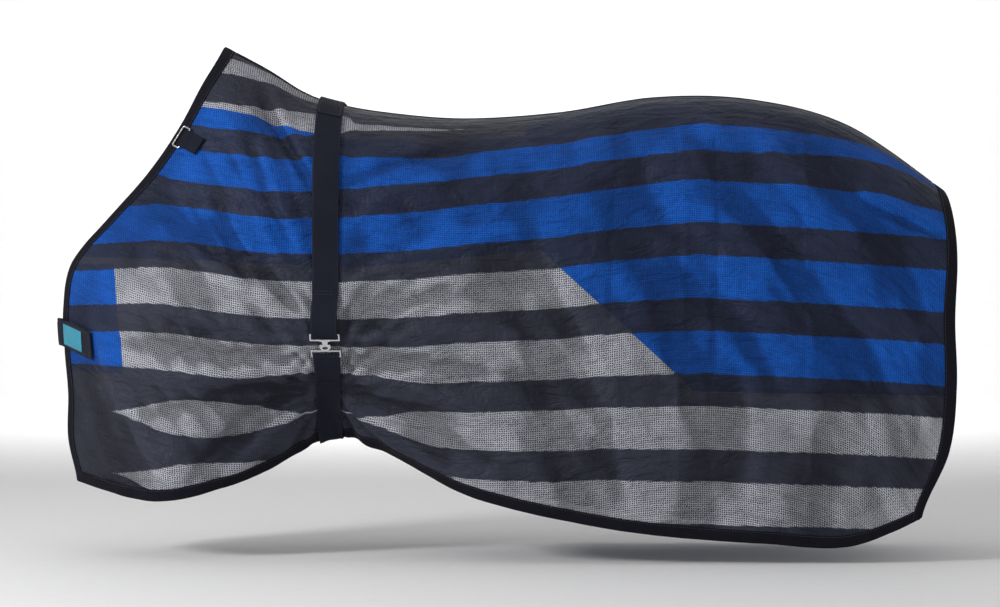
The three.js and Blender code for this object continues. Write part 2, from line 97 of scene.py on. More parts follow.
# The striped weave: the middle of one dark stripe from front to tail, and the stripes' spacing
STRIPE_X = (-0.50, -0.33, -0.24, -0.14, -0.067, 0.05, 0.18, 0.276, 0.447, 0.523, 0.713, 0.903, 1.093, 1.178)
STRIPE_Z = (-0.306, -0.300, -0.302, -0.316, -0.324, -0.326, -0.320, -0.309, -0.297, -0.285, -0.269, -0.280,
            -0.293, -0.301)
PITCH_X = (-0.48, -0.33, -0.07, 0.18, 0.447, 0.713, 1.1)
PITCH = (0.118, 0.127, 0.1235, 0.129, 0.136, 0.1445, 0.1415)
# The lined parts: the top and bottom edges of the back lining, and the corners of the chest lining
LINED_TOP_X = (-0.6, -0.247, -0.143, -0.067, 0.048, 0.2, 0.38, 0.45, 1.3)
LINED_TOP_Z = (0.0, -0.012, -0.03, -0.06, -0.079, -0.083, -0.075, 0.2, 0.2)
LINED_LOW_X = (-0.6, -0.14, 0.05, 0.41, 0.66, 0.70, 1.3)
LINED_LOW_Z = (-0.3, -0.316, -0.326, -0.292, -0.52, -0.562, -0.572)
CHEST_LINED = ((-0.6, -0.418), (-0.33, -0.53))
# How far below the spine every stripe is made dark
SPINE_DARK_X = (0.02, 0.05, 0.18, 0.28, 0.34, 0.45, 0.52, 0.71, 0.90, 1.09, 1.2)
SPINE_DARK_DEPTH = (0.0, 0.042, 0.032, 0.026, 0.068, 0.064, 0.06, 0.05, 0.036, 0.018, 0.012)


def rgb(red, green, blue):
    """Screen values from 0 to 255 as the linear colour that shaders use."""
    return tuple(((c / 255 + 0.055) / 1.055) ** 2.4 if c > 10 else c / 3294.6 for c in (red, green, blue))


def rgba(colour):
    return (*tuple(colour)[:3], 1.0)


def dye(name, description, *screen):
    """A colour that a user can change, given as screen values."""
    return FloatVectorProperty(name=name, description=description, subtype="COLOR", size=3,
                               default=rgb(*screen), min=0, max=1)


# ---------------------------------------------------------------- the shape of the cloth

def spline(values, t):
    """A smooth curve through evenly spaced values, at shares t of its way."""
    values = np.asarray(values, float)
    last = len(values) - 1
    place = np.clip(t, 0, 1) * last
    i = np.minimum(place.astype(int), last - 1)
    w = place - i
    a, b, c, d = (values[np.clip(i + k, 0, last)] for k in (-1, 0, 1, 2))
    into, out = (c - a) / 2, (d - b) / 2
    return (2 * b - 2 * c + into + out) * w ** 3 + (-3 * b + 3 * c - 2 * into - out) * w ** 2 + into * w + b


def ease(x, low, high):
    """Goes smoothly from 0 to 1 as x goes from low to high."""
    t = np.clip((x - low) / (high - low), 0, 1)
    return t * t * (3 - 2 * t)


def run_along(points):
    """How far along a line of points each one lies."""
    return np.concatenate([[0], np.cumsum(np.linalg.norm(np.diff(points, axis=0), axis=1))])


def flat_places(across, along):
    """A grid of flat places, a row for each place along."""
    return np.stack(np.broadcast_arrays(across[None, :], along[:, None]), -1)


def to_side(points, side):
    """Points or ways of the left side, turned over for the right side."""
    return points * (1, -1, 1) if side == RIGHT else points


def edge_bow(edge, v):
    return spline(edge, v) - (edge[0] + (edge[-1] - edge[0]) * v)


def smooth_side(u, v):
    """The smooth left side: u runs from the front edge to the tail, v from the spine to the hem."""
    top_x, top_z, hem_x, hem_z = (spline(STATIONS[:, k], u) for k in range(4))
    x = top_x + (hem_x - top_x) * v + edge_bow(FRONT_EDGE, v) * (1 - u) ** 3 + edge_bow(TAIL_EDGE, v) * u ** 6
    z = top_z + (hem_z - top_z) * v
    width = HALF_WIDTH * (1 - 0.15 * ((x - 0.24 * RUG_LENGTH) / (0.46 * RUG_LENGTH)) ** 2)
    crown = np.sqrt(np.maximum(1 - (1 - np.minimum(v / CROWN_SHARE, 1)) ** 2, 0))
    hem_share = 1 - HEM_TUCK * np.exp(-((x / TUCK_REACH) ** 2)) - HEM_DRAW
    under = np.clip((v - TUCK_START) / (1 - TUCK_START), 0, 1)
    tuck = hem_share + (1 - hem_share) * np.cos(math.pi / 2 * under)
    edge_share = (EDGE_SPREAD + (NECK_SPREAD - EDGE_SPREAD) * (1 - ease(v, 0.26, 0.56))
                  + HEM_SPREAD * ease(v, 0.75, 1))
    inside = np.clip((x - spline(FRONT_EDGE, v)) / CHEST_DEPTH, 0, 1)
    front = edge_share + (1 - edge_share) * np.sin(math.pi / 2 * inside) ** 0.85
    return np.stack([x, -(SEAM_GAP / 2 + width * crown * tuck * front), z], -1)


def way_out(u, v):
    """The way straight out of the smooth left side."""
    step = 1e-3
    along = smooth_side(np.minimum(u + step, 1), v) - smooth_side(np.maximum(u - step, 0), v)
    down = smooth_side(u, np.minimum(v + step, 1)) - smooth_side(u, np.maximum(v - step, 0))
    out = np.cross(down, along)
    return out / np.linalg.norm(out, axis=-1, keepdims=True)


# Folds and creases: height in mm, width in mm, then the places they pass, x and z
FOLDS = (
    (5, 15, (-0.26, -0.29), (-0.03, -0.44)), (-4, 16, (-0.33, -0.20), (-0.05, -0.42)),
    (5, 15, (-0.37, -0.39), (-0.20, -0.43), (-0.03, -0.475)), (-5, 15, (-0.41, -0.47), (-0.04, -0.50)),
    (5, 16, (-0.42, -0.53), (-0.20, -0.54), (-0.03, -0.52)), (-4, 14, (-0.40, -0.62), (-0.04, -0.54)),
    (5, 14, (-0.18, -0.16), (-0.03, -0.38)), (-4, 13, (-0.22, -0.24), (-0.03, -0.41)),
    (-6, 11, (-0.165, 0.079), (-0.114, -0.045), (-0.03, -0.178)),
    (5, 10, (-0.145, 0.07), (-0.095, -0.035), (-0.03, -0.14)),
    (5, 12, (-0.14, -0.08), (-0.09, -0.20), (-0.03, -0.33)),
    (6, 15, (-0.02, -0.58), (-0.10, -0.645), (-0.20, -0.73)), (-5, 13, (-0.02, -0.545), (-0.16, -0.62), (-0.28, -0.74)),
    (6, 14, (0.03, -0.58), (0.10, -0.63), (0.22, -0.72)), (-5, 14, (0.03, -0.555), (0.14, -0.60), (0.30, -0.69)),
    (5, 14, (0.03, -0.53), (0.15, -0.555), (0.34, -0.62)), (-4, 14, (0.03, -0.50), (0.16, -0.505), (0.38, -0.535)),
    (4, 16, (0.03, -0.465), (0.18, -0.45), (0.40, -0.455)), (-3, 18, (0.03, -0.42), (0.20, -0.38), (0.42, -0.35)),
    (4, 18, (0.03, -0.36), (0.18, -0.30), (0.36, -0.25)), (3, 14, (0.03, -0.25), (0.12, -0.19), (0.24, -0.15)),
    (-3, 12, (0.04, -0.16), (0.16, -0.12), (0.30, -0.10)),
    (1.6, 5, (0.672, -0.02), (0.678, -0.45), (0.672, -0.82)), (-1.8, 6, (0.742, -0.01), (0.735, -0.40), (0.742, -0.83)),
    (1.4, 5, (0.922, -0.03), (0.915, -0.40), (0.925, -0.84)), (-1.4, 5, (0.55, -0.03), (0.545, -0.40), (0.55, -0.80)),
    (5, 26, (0.60, -0.10), (0.78, -0.34), (0.93, -0.62)), (-5, 24, (0.70, -0.08), (0.86, -0.30), (1.02, -0.56)),
    (5, 24, (0.82, -0.05), (0.96, -0.26), (1.09, -0.47)), (-4, 20, (0.93, -0.06), (1.04, -0.24), (1.14, -0.42)),
    (4, 20, (0.93, -0.29), (1.05, -0.46), (1.14, -0.62)), (-4, 22, (0.52, -0.17), (0.66, -0.44), (0.74, -0.72)),
    (4, 22, (0.43, -0.25), (0.54, -0.50), (0.60, -0.78)), (-4, 18, (0.34, -0.32), (0.42, -0.56), (0.46, -0.80)),
    (4, 18, (0.80, -0.52), (0.84, -0.68), (0.83, -0.85)), (-4, 18, (0.93, -0.56), (0.95, -0.70), (0.94, -0.84)),
    (-3.5, 7, (1.015, -0.20), (1.10, -0.232), (1.19, -0.275)), (3, 9, (1.03, -0.185), (1.19, -0.255)),
    (-2, 5, (0.69, -0.558), (0.95, -0.567), (1.185, -0.572)),
    (5, 16, (-0.47, -0.42), (-0.40, -0.60), (-0.30, -0.74)), (-4, 14, (-0.49, -0.52), (-0.44, -0.66), (-0.38, -0.76)),
)
# Soft waves: height in mm, waves per metre along and down, start
WAVES = ((1.6, 3.1, 1.3, 0.4), (1.2, 5.3, -2.2, 1.9), (0.8, 8.7, 3.1, 0.7), (0.5, 14.3, -5.9, 2.6),
         (0.35, 19.0, 9.0, 5.1))
# Runs of slanting pulls: height in mm, middle x and z and reach along and down in metres, slant in radians,
# pitch in metres
PULLS = (
    (2.6, (-0.17, -0.22), (0.12, 0.20), 1.02, 0.046), (2.2, (-0.26, -0.52), (0.15, 0.16), 0.86, 0.054),
    (1.8, (-0.10, -0.44), (0.09, 0.14), 0.78, 0.030), (1.8, (0.14, -0.42), (0.10, 0.18), -0.50, 0.036),
    (2.4, (0.82, -0.40), (0.24, 0.26), 0.86, 0.085), (1.8, (0.45, -0.55), (0.16, 0.22), 1.05, 0.070),
    (1.6, (1.08, -0.55), (0.10, 0.20), 1.20, 0.060),
)
# Gathers fanning out from the surcingle: x, z, ridges in a turn, height in mm, reach in metres
FANS = ((-0.001, -0.46, 19, 3.0, 0.16), (0.001, -0.46, 17, 2.6, 0.15), (-0.001, -0.565, 23, 3.4, 0.19),
        (0.001, -0.565, 21, 3.6, 0.21))
# The folds lift the cloth by this many times their height
FOLD_LIFT = 1.7
# The folds also paint shade and light into the cloth's colour: the valley painted darkest lies this far below the crest
# painted lightest
FOLD_SHADE = 11 * MM


def near_line(x, z, points):
    """Distance from each place to a line of points, and the share of the line's way at the nearest point."""
    best, share = np.full(x.shape, 9.0), np.zeros(x.shape)
    pieces = len(points) - 1
    for k in range(pieces):
        (ax, az), (bx, bz) = points[k], points[k + 1]
        dx, dz = bx - ax, bz - az
        t = np.clip(((x - ax) * dx + (z - az) * dz) / (dx * dx + dz * dz), 0, 1)
        gap = np.hypot(x - ax - t * dx, z - az - t * dz)
        share = np.where(gap < best, (k + t) / pieces, share)
        best = np.minimum(best, gap)
    return best, share


def fold_height(u, v, x, z, side):
    """How far the folds lift the cloth off its smooth shape."""
    drift = 0.008 * np.sin(9 * x + 7 * z + (2 if side == RIGHT else 0))
    rise = np.zeros(x.shape)
    for height, width, *points in FOLDS:
        gap, share = near_line(x + drift, z, points)
        fading = np.sin(math.pi * (0.08 + 0.84 * share)) ** 0.7
        rise += FOLD_LIFT * height * np.exp(-((gap / (width * MM)) ** 2)) * fading
    turn = 0.0 if side == LEFT else 1.7
    for height, along, down, start in WAVES:
        rise += height * np.sin(2 * math.pi * (along * x + down * z) + start + turn)
    for height, (at_x, at_z), (wide, deep), slant, pitch in PULLS:
        near = np.exp(-(((x - at_x) / wide) ** 2) - ((z - at_z) / deep) ** 2)
        across = x * math.sin(slant) + z * math.cos(slant) + 1.4 * drift
        ridge = np.sin(2 * math.pi * across / pitch + turn + 5 * np.sin(4 * x - 3 * z))
        rise += height * near * (ridge + 0.35 * np.sin(2.3 * math.pi * across / pitch * 2))
    for at_x, at_z, ridges, height, reach in FANS:
        dx, dz = (x - at_x) * (1 if at_x > 0 else -1), z - at_z
        away = np.hypot(dx, dz)
        spread = np.exp(-((away / reach) ** 2)) * ease(away, 0.02, 0.07) * ease(dx, 0.0, 0.03)
        rise += height * spread * np.sin(ridges * np.arctan2(dz, np.maximum(dx, 0.001)) + 3 * np.sin(9 * away) + turn)
    rise += 2.5 * ease(v, 0.55, 1) * np.sin(2 * math.pi * 3.6 * x + 1.1 + turn) * ease(x, 0.1, 0.3)
    calm = ease(v, 0.01, 0.12) * (0.25 + 0.75 * ease(u, 0, 0.07)) * (0.3 + 0.7 * (1 - ease(u, 0.96, 1)))
    strap = 1 - 0.88 * np.exp(-((x / 0.034) ** 4)) * (1 - 0.6 * ease(-z, 0.55, 0.62))
    return rise * MM * calm * strap


def cloth_at(u, v, height, side=LEFT):
    """Points on one side of the rug, at a height off the inner face of the cloth, folds included."""
    u, v = np.broadcast_arrays(np.asarray(u, float), np.asarray(v, float))
    base = smooth_side(u, v)
    lift = fold_height(u, v, base[..., 0], base[..., 2], side) + height
    return to_side(base + way_out(u, v) * np.asarray(lift)[..., None], side)


def even_rows(count, low=0.0, high=1.0):
    """Rows from spine to hem, evenly spaced over the cloth."""
    share = 0.42
    s = np.linspace(0, 1, 400)
    v = np.where(s < share, CROWN_SHARE * (1 - np.cos(math.pi / 2 * np.minimum(s / share, 1))),
                 CROWN_SHARE + (1 - CROWN_SHARE) * (s - share) / (1 - share))
    start, end = np.interp([low, high], v, s)
    return np.interp(np.linspace(start, end, count), s, v)


# A table of the smooth cloth, and how far down the cloth each of its places lies
TABLE_COLUMNS, TABLE_ROWS = 180, 240
TABLE_U, TABLE_V = np.linspace(0, 1, TABLE_COLUMNS + 1), even_rows(TABLE_ROWS + 1)
TABLE = smooth_side(TABLE_U[:, None], TABLE_V[None, :])
DOWN = np.array([run_along(column) for column in TABLE])


def table_value(table, u, v):
    """A value from the table of the cloth, at places u and v."""
    i = np.clip(u * TABLE_COLUMNS, 0, TABLE_COLUMNS - MM)
    j = np.interp(v, TABLE_V, np.arange(TABLE_ROWS + 1)).clip(0, TABLE_ROWS - MM)
    a, b = i.astype(int), j.astype(int)
    s, t = i - a, j - b
    return ((table[a, b] * (1 - s) + table[a + 1, b] * s) * (1 - t)
            + (table[a, b + 1] * (1 - s) + table[a + 1, b + 1] * s) * t)


STRIPE_DOWN = np.array([
    np.interp(-np.interp(column[:, 0].mean(), STRIPE_X, STRIPE_Z), -column[:, 2], down)
    for column, down in zip(TABLE, DOWN)])


def weave_at(u, v):
    """Places on the flat cloth: metres along and down, the stripe's number, metres inside the lining, and how far the
    dark stripes spread: made dark below the spine and at the neck, and painted shade in the gathers by the surcingle
    and in the lower front corner.
    """
    base = smooth_side(u, v)
    x, z = base[..., 0], base[..., 2]
    down = table_value(DOWN, u, v)
    level = np.interp(u, TABLE_U, STRIPE_DOWN)
    # Towards the chest the cloth turns away, and there the stripes keep their spacing by level.
    sunk = np.interp(x, STRIPE_X, STRIPE_Z) - z
    flat_share = np.where(sunk < 0, np.clip((x + 0.33) / 0.2, 0, 1), np.clip((x + 0.45) / 0.2, 0, 1))
    stripe = (sunk + (down - level - sunk) * flat_share) / np.interp(x, PITCH_X, PITCH)
    back = np.minimum(np.interp(x, LINED_TOP_X, LINED_TOP_Z) - z, z - np.interp(x, LINED_LOW_X, LINED_LOW_Z))
    (left, right), (top, low) = CHEST_LINED
    slant = right + 0.12 * (top - z)
    chest = np.minimum(np.minimum(slant - x, top + 0.012 - z), z - low)
    # Painted shade: stripes darkened where the cloth gathers beside the surcingle
    painted_gather_shade = 0.9 * (1 - ease(np.abs(x - 0.01), 0.04, 0.2)) * ease(-z, 0.50, 0.565)
    below = smooth_side(u, np.zeros(v.shape))[..., 2] - z
    close = np.interp(x, SPINE_DARK_X, SPINE_DARK_DEPTH)
    # Stripes made dark below the spine, and partly dark a little further down
    spine = np.maximum(1 - ease(below, close - 0.008, close + 0.002), 0.35 * (1 - ease(below, 0.085, 0.12)))
    spine = spine * ease(x, 0.02, 0.05)
    # Stripes made partly dark at the top of the neck
    neck = 0.33 * ease(z, -0.035, 0.0) * (1 - ease(x, -0.12, -0.03))
    # Painted shade: stripes darkened in the folds of the lower front corner
    corner = (1 - ease(x, -0.45, -0.26)) * ease(-z, 0.5, 0.6)
    # How far each place's stripes are darkened, partly as painted shade
    darkening_and_painted_shade = np.maximum.reduce([painted_gather_shade, spine, neck, corner])
    return x, down, stripe, np.maximum(back, chest), darkening_and_painted_shade


def fraction_in(kind, marks, distance):
    """u or v at a distance in from an edge of the cloth, for each mark along that edge."""
    steps = np.linspace(0, 0.28, 70)
    if kind == "front":
        points = smooth_side(steps[None, :], marks[:, None])
    elif kind == "tail":
        points = smooth_side(1 - steps[None, :], marks[:, None])
    elif kind == "hem":
        points = smooth_side(marks[:, None], 1 - steps[None, :])
    else:
        points = smooth_side(marks[:, None], steps[None, :])
    away = np.linalg.norm(points - points[:, :1], axis=2)
    found = np.array([np.interp(distance, away[i], steps) for i in range(len(marks))])
    return found if kind in ("front", "spine") else 1 - found


def edge_at(kind, marks, distance, height, side):
    """Points along an edge of the cloth, at distances in from it. A negative distance stands out past it."""
    marks, distance, height = (np.asarray(a, float) for a in (marks, distance, height))
    inner = fraction_in(kind, marks, np.maximum(distance, 0))
    across = np.repeat(marks[:, None], len(distance), 1)
    pair = (across, inner) if kind in ("hem", "spine") else (inner, across)
    points = cloth_at(*pair, height[None, :], side)
    step = fraction_in(kind, marks, np.array([0.0, 4 * MM]))
    wide = np.repeat(marks[:, None], 2, 1)
    pair = (wide, step) if kind in ("hem", "spine") else (step, wide)
    near = cloth_at(*pair, CLOTH_OUT / 2, side)
    way = near[:, 0] - near[:, 1]
    way /= np.linalg.norm(way, axis=1, keepdims=True)
    return points + way[:, None, :] * np.maximum(-distance, 0)[None, :, None]


# ---------------------------------------------------------------- making pieces

def grid_piece(name, points, uv, facing, values=None):
    """A sheet over a grid of points. It keeps its flat cloth places as a UV map and other values as
    attributes, and its middle faces the way given."""
    rows, columns = points.shape[:2]
    bm = bmesh.new()
    bmesh.ops.create_grid(bm, x_segments=columns - 1, y_segments=rows - 1, size=0.5)
    mesh = bpy.data.meshes.new(name)
    bm.to_mesh(mesh)
    bm.free()
    flat = np.zeros(len(mesh.vertices) * 3, np.float32)
    mesh.vertices.foreach_get("co", flat)
    flat = flat.reshape(-1, 3)
    j = np.rint((flat[:, 0] + 0.5) * (columns - 1)).astype(int)
    i = np.rint((flat[:, 1] + 0.5) * (rows - 1)).astype(int)
    mesh.vertices.foreach_set("co", points[i, j].astype(np.float32).ravel())
    corner = np.zeros(len(mesh.loops), int)
    mesh.loops.foreach_get("vertex_index", corner)
    if uv is not None:
        mesh.uv_layers.new(name="cloth").data.foreach_set("uv", uv[i, j][corner].astype(np.float32).ravel())
    for key, value in (values or {}).items():
        mesh.attributes.new(key, "FLOAT", "POINT").data.foreach_set("value", value[i, j].astype(np.float32))
    mesh.update()
    if facing is not None:
        middle = points[rows // 2, columns // 2]
        nearest = min(mesh.polygons, key=lambda face: (face.center - Vector(middle)).length_squared)
        if nearest.normal.dot(Vector(facing)) < 0:
            mesh.flip_normals()
    return new_object(name, mesh)


def new_object(name, mesh):
    made = bpy.data.objects.new(name, mesh)
    bpy.context.scene.collection.objects.link(made)
    mesh.polygons.foreach_set("use_smooth", [True] * len(mesh.polygons))
    return made


def thicken(piece, thickness, offset=-1.0, rounded=0.0):
    solid = piece.modifiers.new("wall", "SOLIDIFY")
    solid.thickness = thickness
    solid.offset = offset
    solid.use_even_offset = False
    if rounded:
        bevel = piece.modifiers.new("soft edges", "BEVEL")
        bevel.width = rounded
        bevel.segments = 2
        bevel.limit_method = "ANGLE"
        bevel.angle_limit = math.radians(50)
    return piece


def finish_piece(piece, material, body, nodes=()):
    piece.data.materials.clear()
    piece.data.materials.append(material)
    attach(piece, body)
    if nodes:
        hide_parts(*nodes)
    return piece


# ---------------------------------------------------------------- finishes

class Finish:
    """A material whose nodes are added one call at a time."""

    def __init__(self, name, **sockets):
        self.material = bpy.data.materials.new(name)
        self.material.use_nodes = True
        self.tree = self.material.node_tree
        self.shader = self.tree.nodes["Principled BSDF"]
        for key, value in sockets.items():
            self.shader.inputs[key.replace("_", " ")].default_value = value

    def node(self, kind, inputs=(), **settings):
        made = self.tree.nodes.new(kind)
        for key, value in settings.items():
            setattr(made, key, value)
        for key, value in dict(inputs).items():
            if isinstance(value, bpy.types.NodeSocket):
                self.tree.links.new(value, made.inputs[key])
            else:
                made.inputs[key].default_value = value
        return made

    def math(self, operation, a, b=0.0, clamp=False):
        return self.node("ShaderNodeMath", {0: a, 1: b}, operation=operation, use_clamp=clamp).outputs[0]

    def step(self, value, low, high, start=0.0, end=1.0):
        """Goes smoothly from start to end as a value goes from low to high."""
        inputs = {0: value, 1: low, 2: high, 3: start, 4: end}
        return self.node("ShaderNodeMapRange", inputs, interpolation_type="SMOOTHSTEP").outputs[0]

    def mix(self, share, a, b, blend="MIX"):
        return self.node("ShaderNodeMix", {0: share, 6: a, 7: b}, data_type="RGBA", blend_type=blend).outputs[2]

    def cloth_place(self, along=1.0, down=1.0):
        uv = self.node("ShaderNodeUVMap", uv_map="cloth").outputs[0]
        if (along, down) == (1.0, 1.0):
            return uv
        return self.node("ShaderNodeMapping", {0: uv, 3: (along, down, 1)}).outputs[0]

    def object_place(self, scale=(1, 1, 1)):
        place = self.node("ShaderNodeTexCoord").outputs["Object"]
        return self.node("ShaderNodeMapping", {0: place, 3: scale}).outputs[0]

    def value(self, name):
        return self.node("ShaderNodeAttribute", attribute_name=name).outputs["Fac"]

    def noise(self, place, scale, detail=2.0, rough=0.5, bend=0.0):
        inputs = {"Vector": place, "Scale": scale, "Detail": detail, "Roughness": rough, "Distortion": bend}
        return self.node("ShaderNodeTexNoise", inputs).outputs[0]

    def waves(self, value, pitch):
        """Runs smoothly between 0 and 1 along a value, once each pitch."""
        turns = self.math("MULTIPLY", value, 2 * math.pi / pitch)
        return self.step(self.math("SINE", turns), -1.0, 1.0)

    def parts(self, place):
        return self.node("ShaderNodeSeparateXYZ", {0: place}).outputs

    def tint(self, colour, value, low, high):
        """A colour made darker or lighter by a value from 0 to 1."""
        shade = self.step(value, 0.25, 0.75, low, high)
        if isinstance(colour, tuple):
            colour = colour[:3]
        return self.node("ShaderNodeVectorMath", {0: colour, "Scale": shade}, operation="SCALE").outputs[0]

    def colour(self, value):
        self.tree.links.new(value, self.shader.inputs["Base Color"])

    def link(self, socket, value):
        self.tree.links.new(value, self.shader.inputs[socket])

    def bump(self, height, distance, strength=1.0, under=None):
        inputs = {"Height": height, "Distance": distance, "Strength": strength}
        if under is not None:
            inputs["Normal"] = under
        return self.node("ShaderNodeBump", inputs).outputs[0]


def striped_mesh(look):
    """Woven stripes: close dark bands, and open net bands that are blue where the lining backs them."""
    f = Finish("striped mesh", Sheen_Weight=0.03, Sheen_Roughness=0.4, Specular_IOR_Level=0.13)
    place = f.cloth_place()
    patches = f.noise(f.cloth_place(1.0, 2.2), 5.0, 4.0, 0.55)
    ragged = f.noise(f.cloth_place(1.0, 6.0), 34.0, 2.0)
    turn = f.math("ADD", f.value("stripe"), f.step(ragged, 0.2, 0.8, -0.012, 0.012))
    off = f.math("ABSOLUTE", f.math("SUBTRACT", f.math("FRACT", f.math("ADD", turn, 0.5)), 0.5))
    # Dark stripes widened by the darkening mask, which is partly painted shade
    reach = f.math("SUBTRACT", off, f.math("MULTIPLY", f.value("darkening_and_painted_shade"), 0.3))
    light = f.step(reach, look.dark_share / 2 - 0.008, look.dark_share / 2 + 0.012)
    blue = f.step(f.value("lined"), -0.0008, 0.0008)
    cells = f.node("ShaderNodeTexVoronoi", {"Vector": place, "Scale": 1 / look.net_size, "Randomness": 0.35},
                   voronoi_dimensions="2D", feature="DISTANCE_TO_EDGE").outputs["Distance"]
    thread = f.step(cells, 0.10, 0.24, 1.0, 0.0)
    grain = f.noise(f.cloth_place(1.0, 2.0), 420.0, 2.0, 0.6)
    streaks = f.noise(f.cloth_place(0.25, 3.0), 60.0, 3.0, 0.6)
    # Net holes painted the dark grey of the rug's shaded inside, partly seen through by the alpha below
    silver = f.mix(thread, rgba(look.net_hole_shade), rgba(look.net_thread))
    silver = f.tint(f.tint(silver, grain, 0.78, 1.22), streaks, 0.9, 1.1)
    azure = f.mix(thread, rgba(look.lined_hole), rgba(look.lined_thread))
    azure = f.tint(f.tint(azure, grain, 0.8, 1.2), streaks, 0.88, 1.12)
    rib = f.waves(f.parts(place)[1], 0.0021)
    dark = f.tint(f.mix(blue, rgba(look.dark_open), rgba(look.dark_lined)), grain, 0.82, 1.2)
    dark = f.tint(dark, rib, 0.9, 1.08)
    pale = f.mix(blue, silver, azure)
    whole = f.tint(f.mix(light, dark, pale), patches, 0.86, 1.14)
    # Painted shade in the fold valleys and painted light on the fold crests, by fold height
    f.colour(f.tint(whole, f.value("painted_fold_shading"), 1.28, 0.66))
    open_net = f.math("MULTIPLY", f.math("MULTIPLY", light, f.math("SUBTRACT", 1.0, blue)),
                      f.math("SUBTRACT", 1.0, thread))
    f.link("Alpha", f.step(open_net, 0.0, 1.0, 1.0, look.net_cover))
    f.link("Roughness", f.step(f.mix(light, (0.5, 0.5, 0.5, 1), (0.68, 0.68, 0.68, 1)), 0.0, 1.0, 0.0, 1.0))
    crinkle = f.noise(f.cloth_place(1.0, 2.4), 17.0, 4.0, 0.55, 0.6)
    fine = f.noise(f.cloth_place(2.6, 1.0), 60.0, 3.0, 0.5, 0.4)
    soft = f.bump(crinkle, 0.02, 0.8)
    soft = f.bump(fine, 0.0035, 0.5, soft)
    weave = f.math("ADD", f.math("MULTIPLY", thread, light), f.math("MULTIPLY", rib, 0.35))
    f.link("Normal", f.bump(weave, 0.0006, 0.6, soft))
    return f.material


def lining_cloth(look):
    """Smooth blue lining with a fine warp and soft creases."""
    f = Finish("blue lining", Sheen_Weight=0.35, Sheen_Roughness=0.3, Specular_IOR_Level=0.45)
    place = f.cloth_place()
    warp = f.waves(f.parts(place)[0], 0.0016)
    weft = f.waves(f.parts(place)[1], 0.0016)
    patches = f.noise(place, 7.0, 4.0)
    grain = f.noise(place, 500.0, 2.0)
    base = f.mix(f.math("MULTIPLY", warp, weft), rgba(look.lining), rgba([c * 1.25 for c in look.lining[:]]))
    f.colour(f.tint(f.tint(base, patches, 0.85, 1.15), grain, 0.85, 1.15))
    f.link("Roughness", f.step(patches, 0.3, 0.7, 0.42, 0.58))
    crease = f.noise(f.cloth_place(1.0, 2.0), 22.0, 4.0, 0.5, 0.5)
    f.link("Normal", f.bump(f.math("ADD", warp, weft), 0.0002, 0.5, f.bump(crease, 0.006, 0.5)))
    return f.material


def tape_cloth(look):
    """Ribbed binding tape, a little worn along its fold."""
    f = Finish("edge tape", Sheen_Weight=0.02, Sheen_Roughness=0.5, Specular_IOR_Level=0.08)
    place = f.cloth_place()
    across, along = f.parts(place)[0], f.parts(place)[1]
    ribs = f.waves(along, 0.0018)
    cords = f.waves(across, 0.0028)
    wear = f.noise(f.cloth_place(2.0, 1.0), 38.0, 4.0, 0.6)
    grain = f.noise(place, 700.0, 2.0)
    base = rgba(look.tape)
    worn = f.mix(f.step(wear, 0.55, 0.8, 0.0, 0.35), base, rgba(look.worn))
    f.colour(f.tint(f.tint(worn, ribs, 0.82, 1.16), grain, 0.8, 1.2))
    f.link("Roughness", f.step(wear, 0.3, 0.7, 0.72, 0.9))
    pucker = f.noise(f.cloth_place(0.6, 1.0), 120.0, 2.0)
    woven = f.math("ADD", ribs, f.math("MULTIPLY", cords, 0.5))
    f.link("Normal", f.bump(woven, 0.0003, 0.6, f.bump(pucker, 0.0012, 0.5)))
    return f.material


def strap_webbing(look):
    """Close herringbone webbing with firm edges."""
    f = Finish("surcingle webbing", Sheen_Weight=0.02, Sheen_Roughness=0.4, Specular_IOR_Level=0.06)
    place = f.cloth_place()
    across, along = f.parts(place)[0], f.parts(place)[1]
    zigzag = f.math("PINGPONG", across, 0.0055)
    twill = f.waves(f.math("ADD", along, zigzag), 0.0019)
    cords = f.waves(across, 0.0014)
    grain = f.noise(place, 800.0, 2.0)
    patches = f.noise(place, 14.0, 3.0)
    edge = f.step(f.math("ABSOLUTE", across), 0.0215, 0.0235)
    base = f.mix(edge, rgba(look.webbing), rgba(look.worn))
    f.colour(f.tint(f.tint(f.tint(base, twill, 0.72, 1.24), grain, 0.8, 1.2), patches, 0.9, 1.1))
    f.link("Roughness", f.step(twill, 0.0, 1.0, 0.82, 0.6))
    f.link("Normal", f.bump(f.math("ADD", twill, f.math("MULTIPLY", cords, 0.4)), 0.0004, 0.7))
    return f.material


def bright_metal(look):
    """Plated steel with fine scratches and dull spots."""
    f = Finish("plated steel", Metallic=1.0)
    place = f.object_place()
    spots = f.noise(place, 180.0, 4.0, 0.6)
    scratch = f.noise(f.object_place((60, 60, 900)), 3.0, 3.0, 0.7)
    f.colour(f.tint(rgba(look.metal), spots, 0.82, 1.08))
    f.link("Roughness", f.step(f.math("ADD", spots, scratch), 0.7, 1.35, 0.16, 0.4))
    f.link("Normal", f.bump(scratch, 0.0001, 0.25, f.bump(spots, 0.0003, 0.3)))
    return f.material


def label_cloth(look):
    """Plain woven label."""
    f = Finish("plain label", Sheen_Weight=0.2, Specular_IOR_Level=0.45)
    place = f.cloth_place()
    across, along = f.parts(place)[0], f.parts(place)[1]
    weft = f.waves(along, 0.0009)
    warp = f.waves(across, 0.0012)
    patches = f.noise(place, 60.0, 3.0)
    base = f.mix(f.math("MULTIPLY", weft, warp), rgba(look.label), rgba([c * 1.3 for c in look.label[:]]))
    f.colour(f.tint(base, patches, 0.9, 1.1))
    f.link("Roughness", f.step(patches, 0.3, 0.7, 0.42, 0.55))
    f.link("Normal", f.bump(f.math("ADD", weft, warp), 0.0002, 0.6))
    return f.material


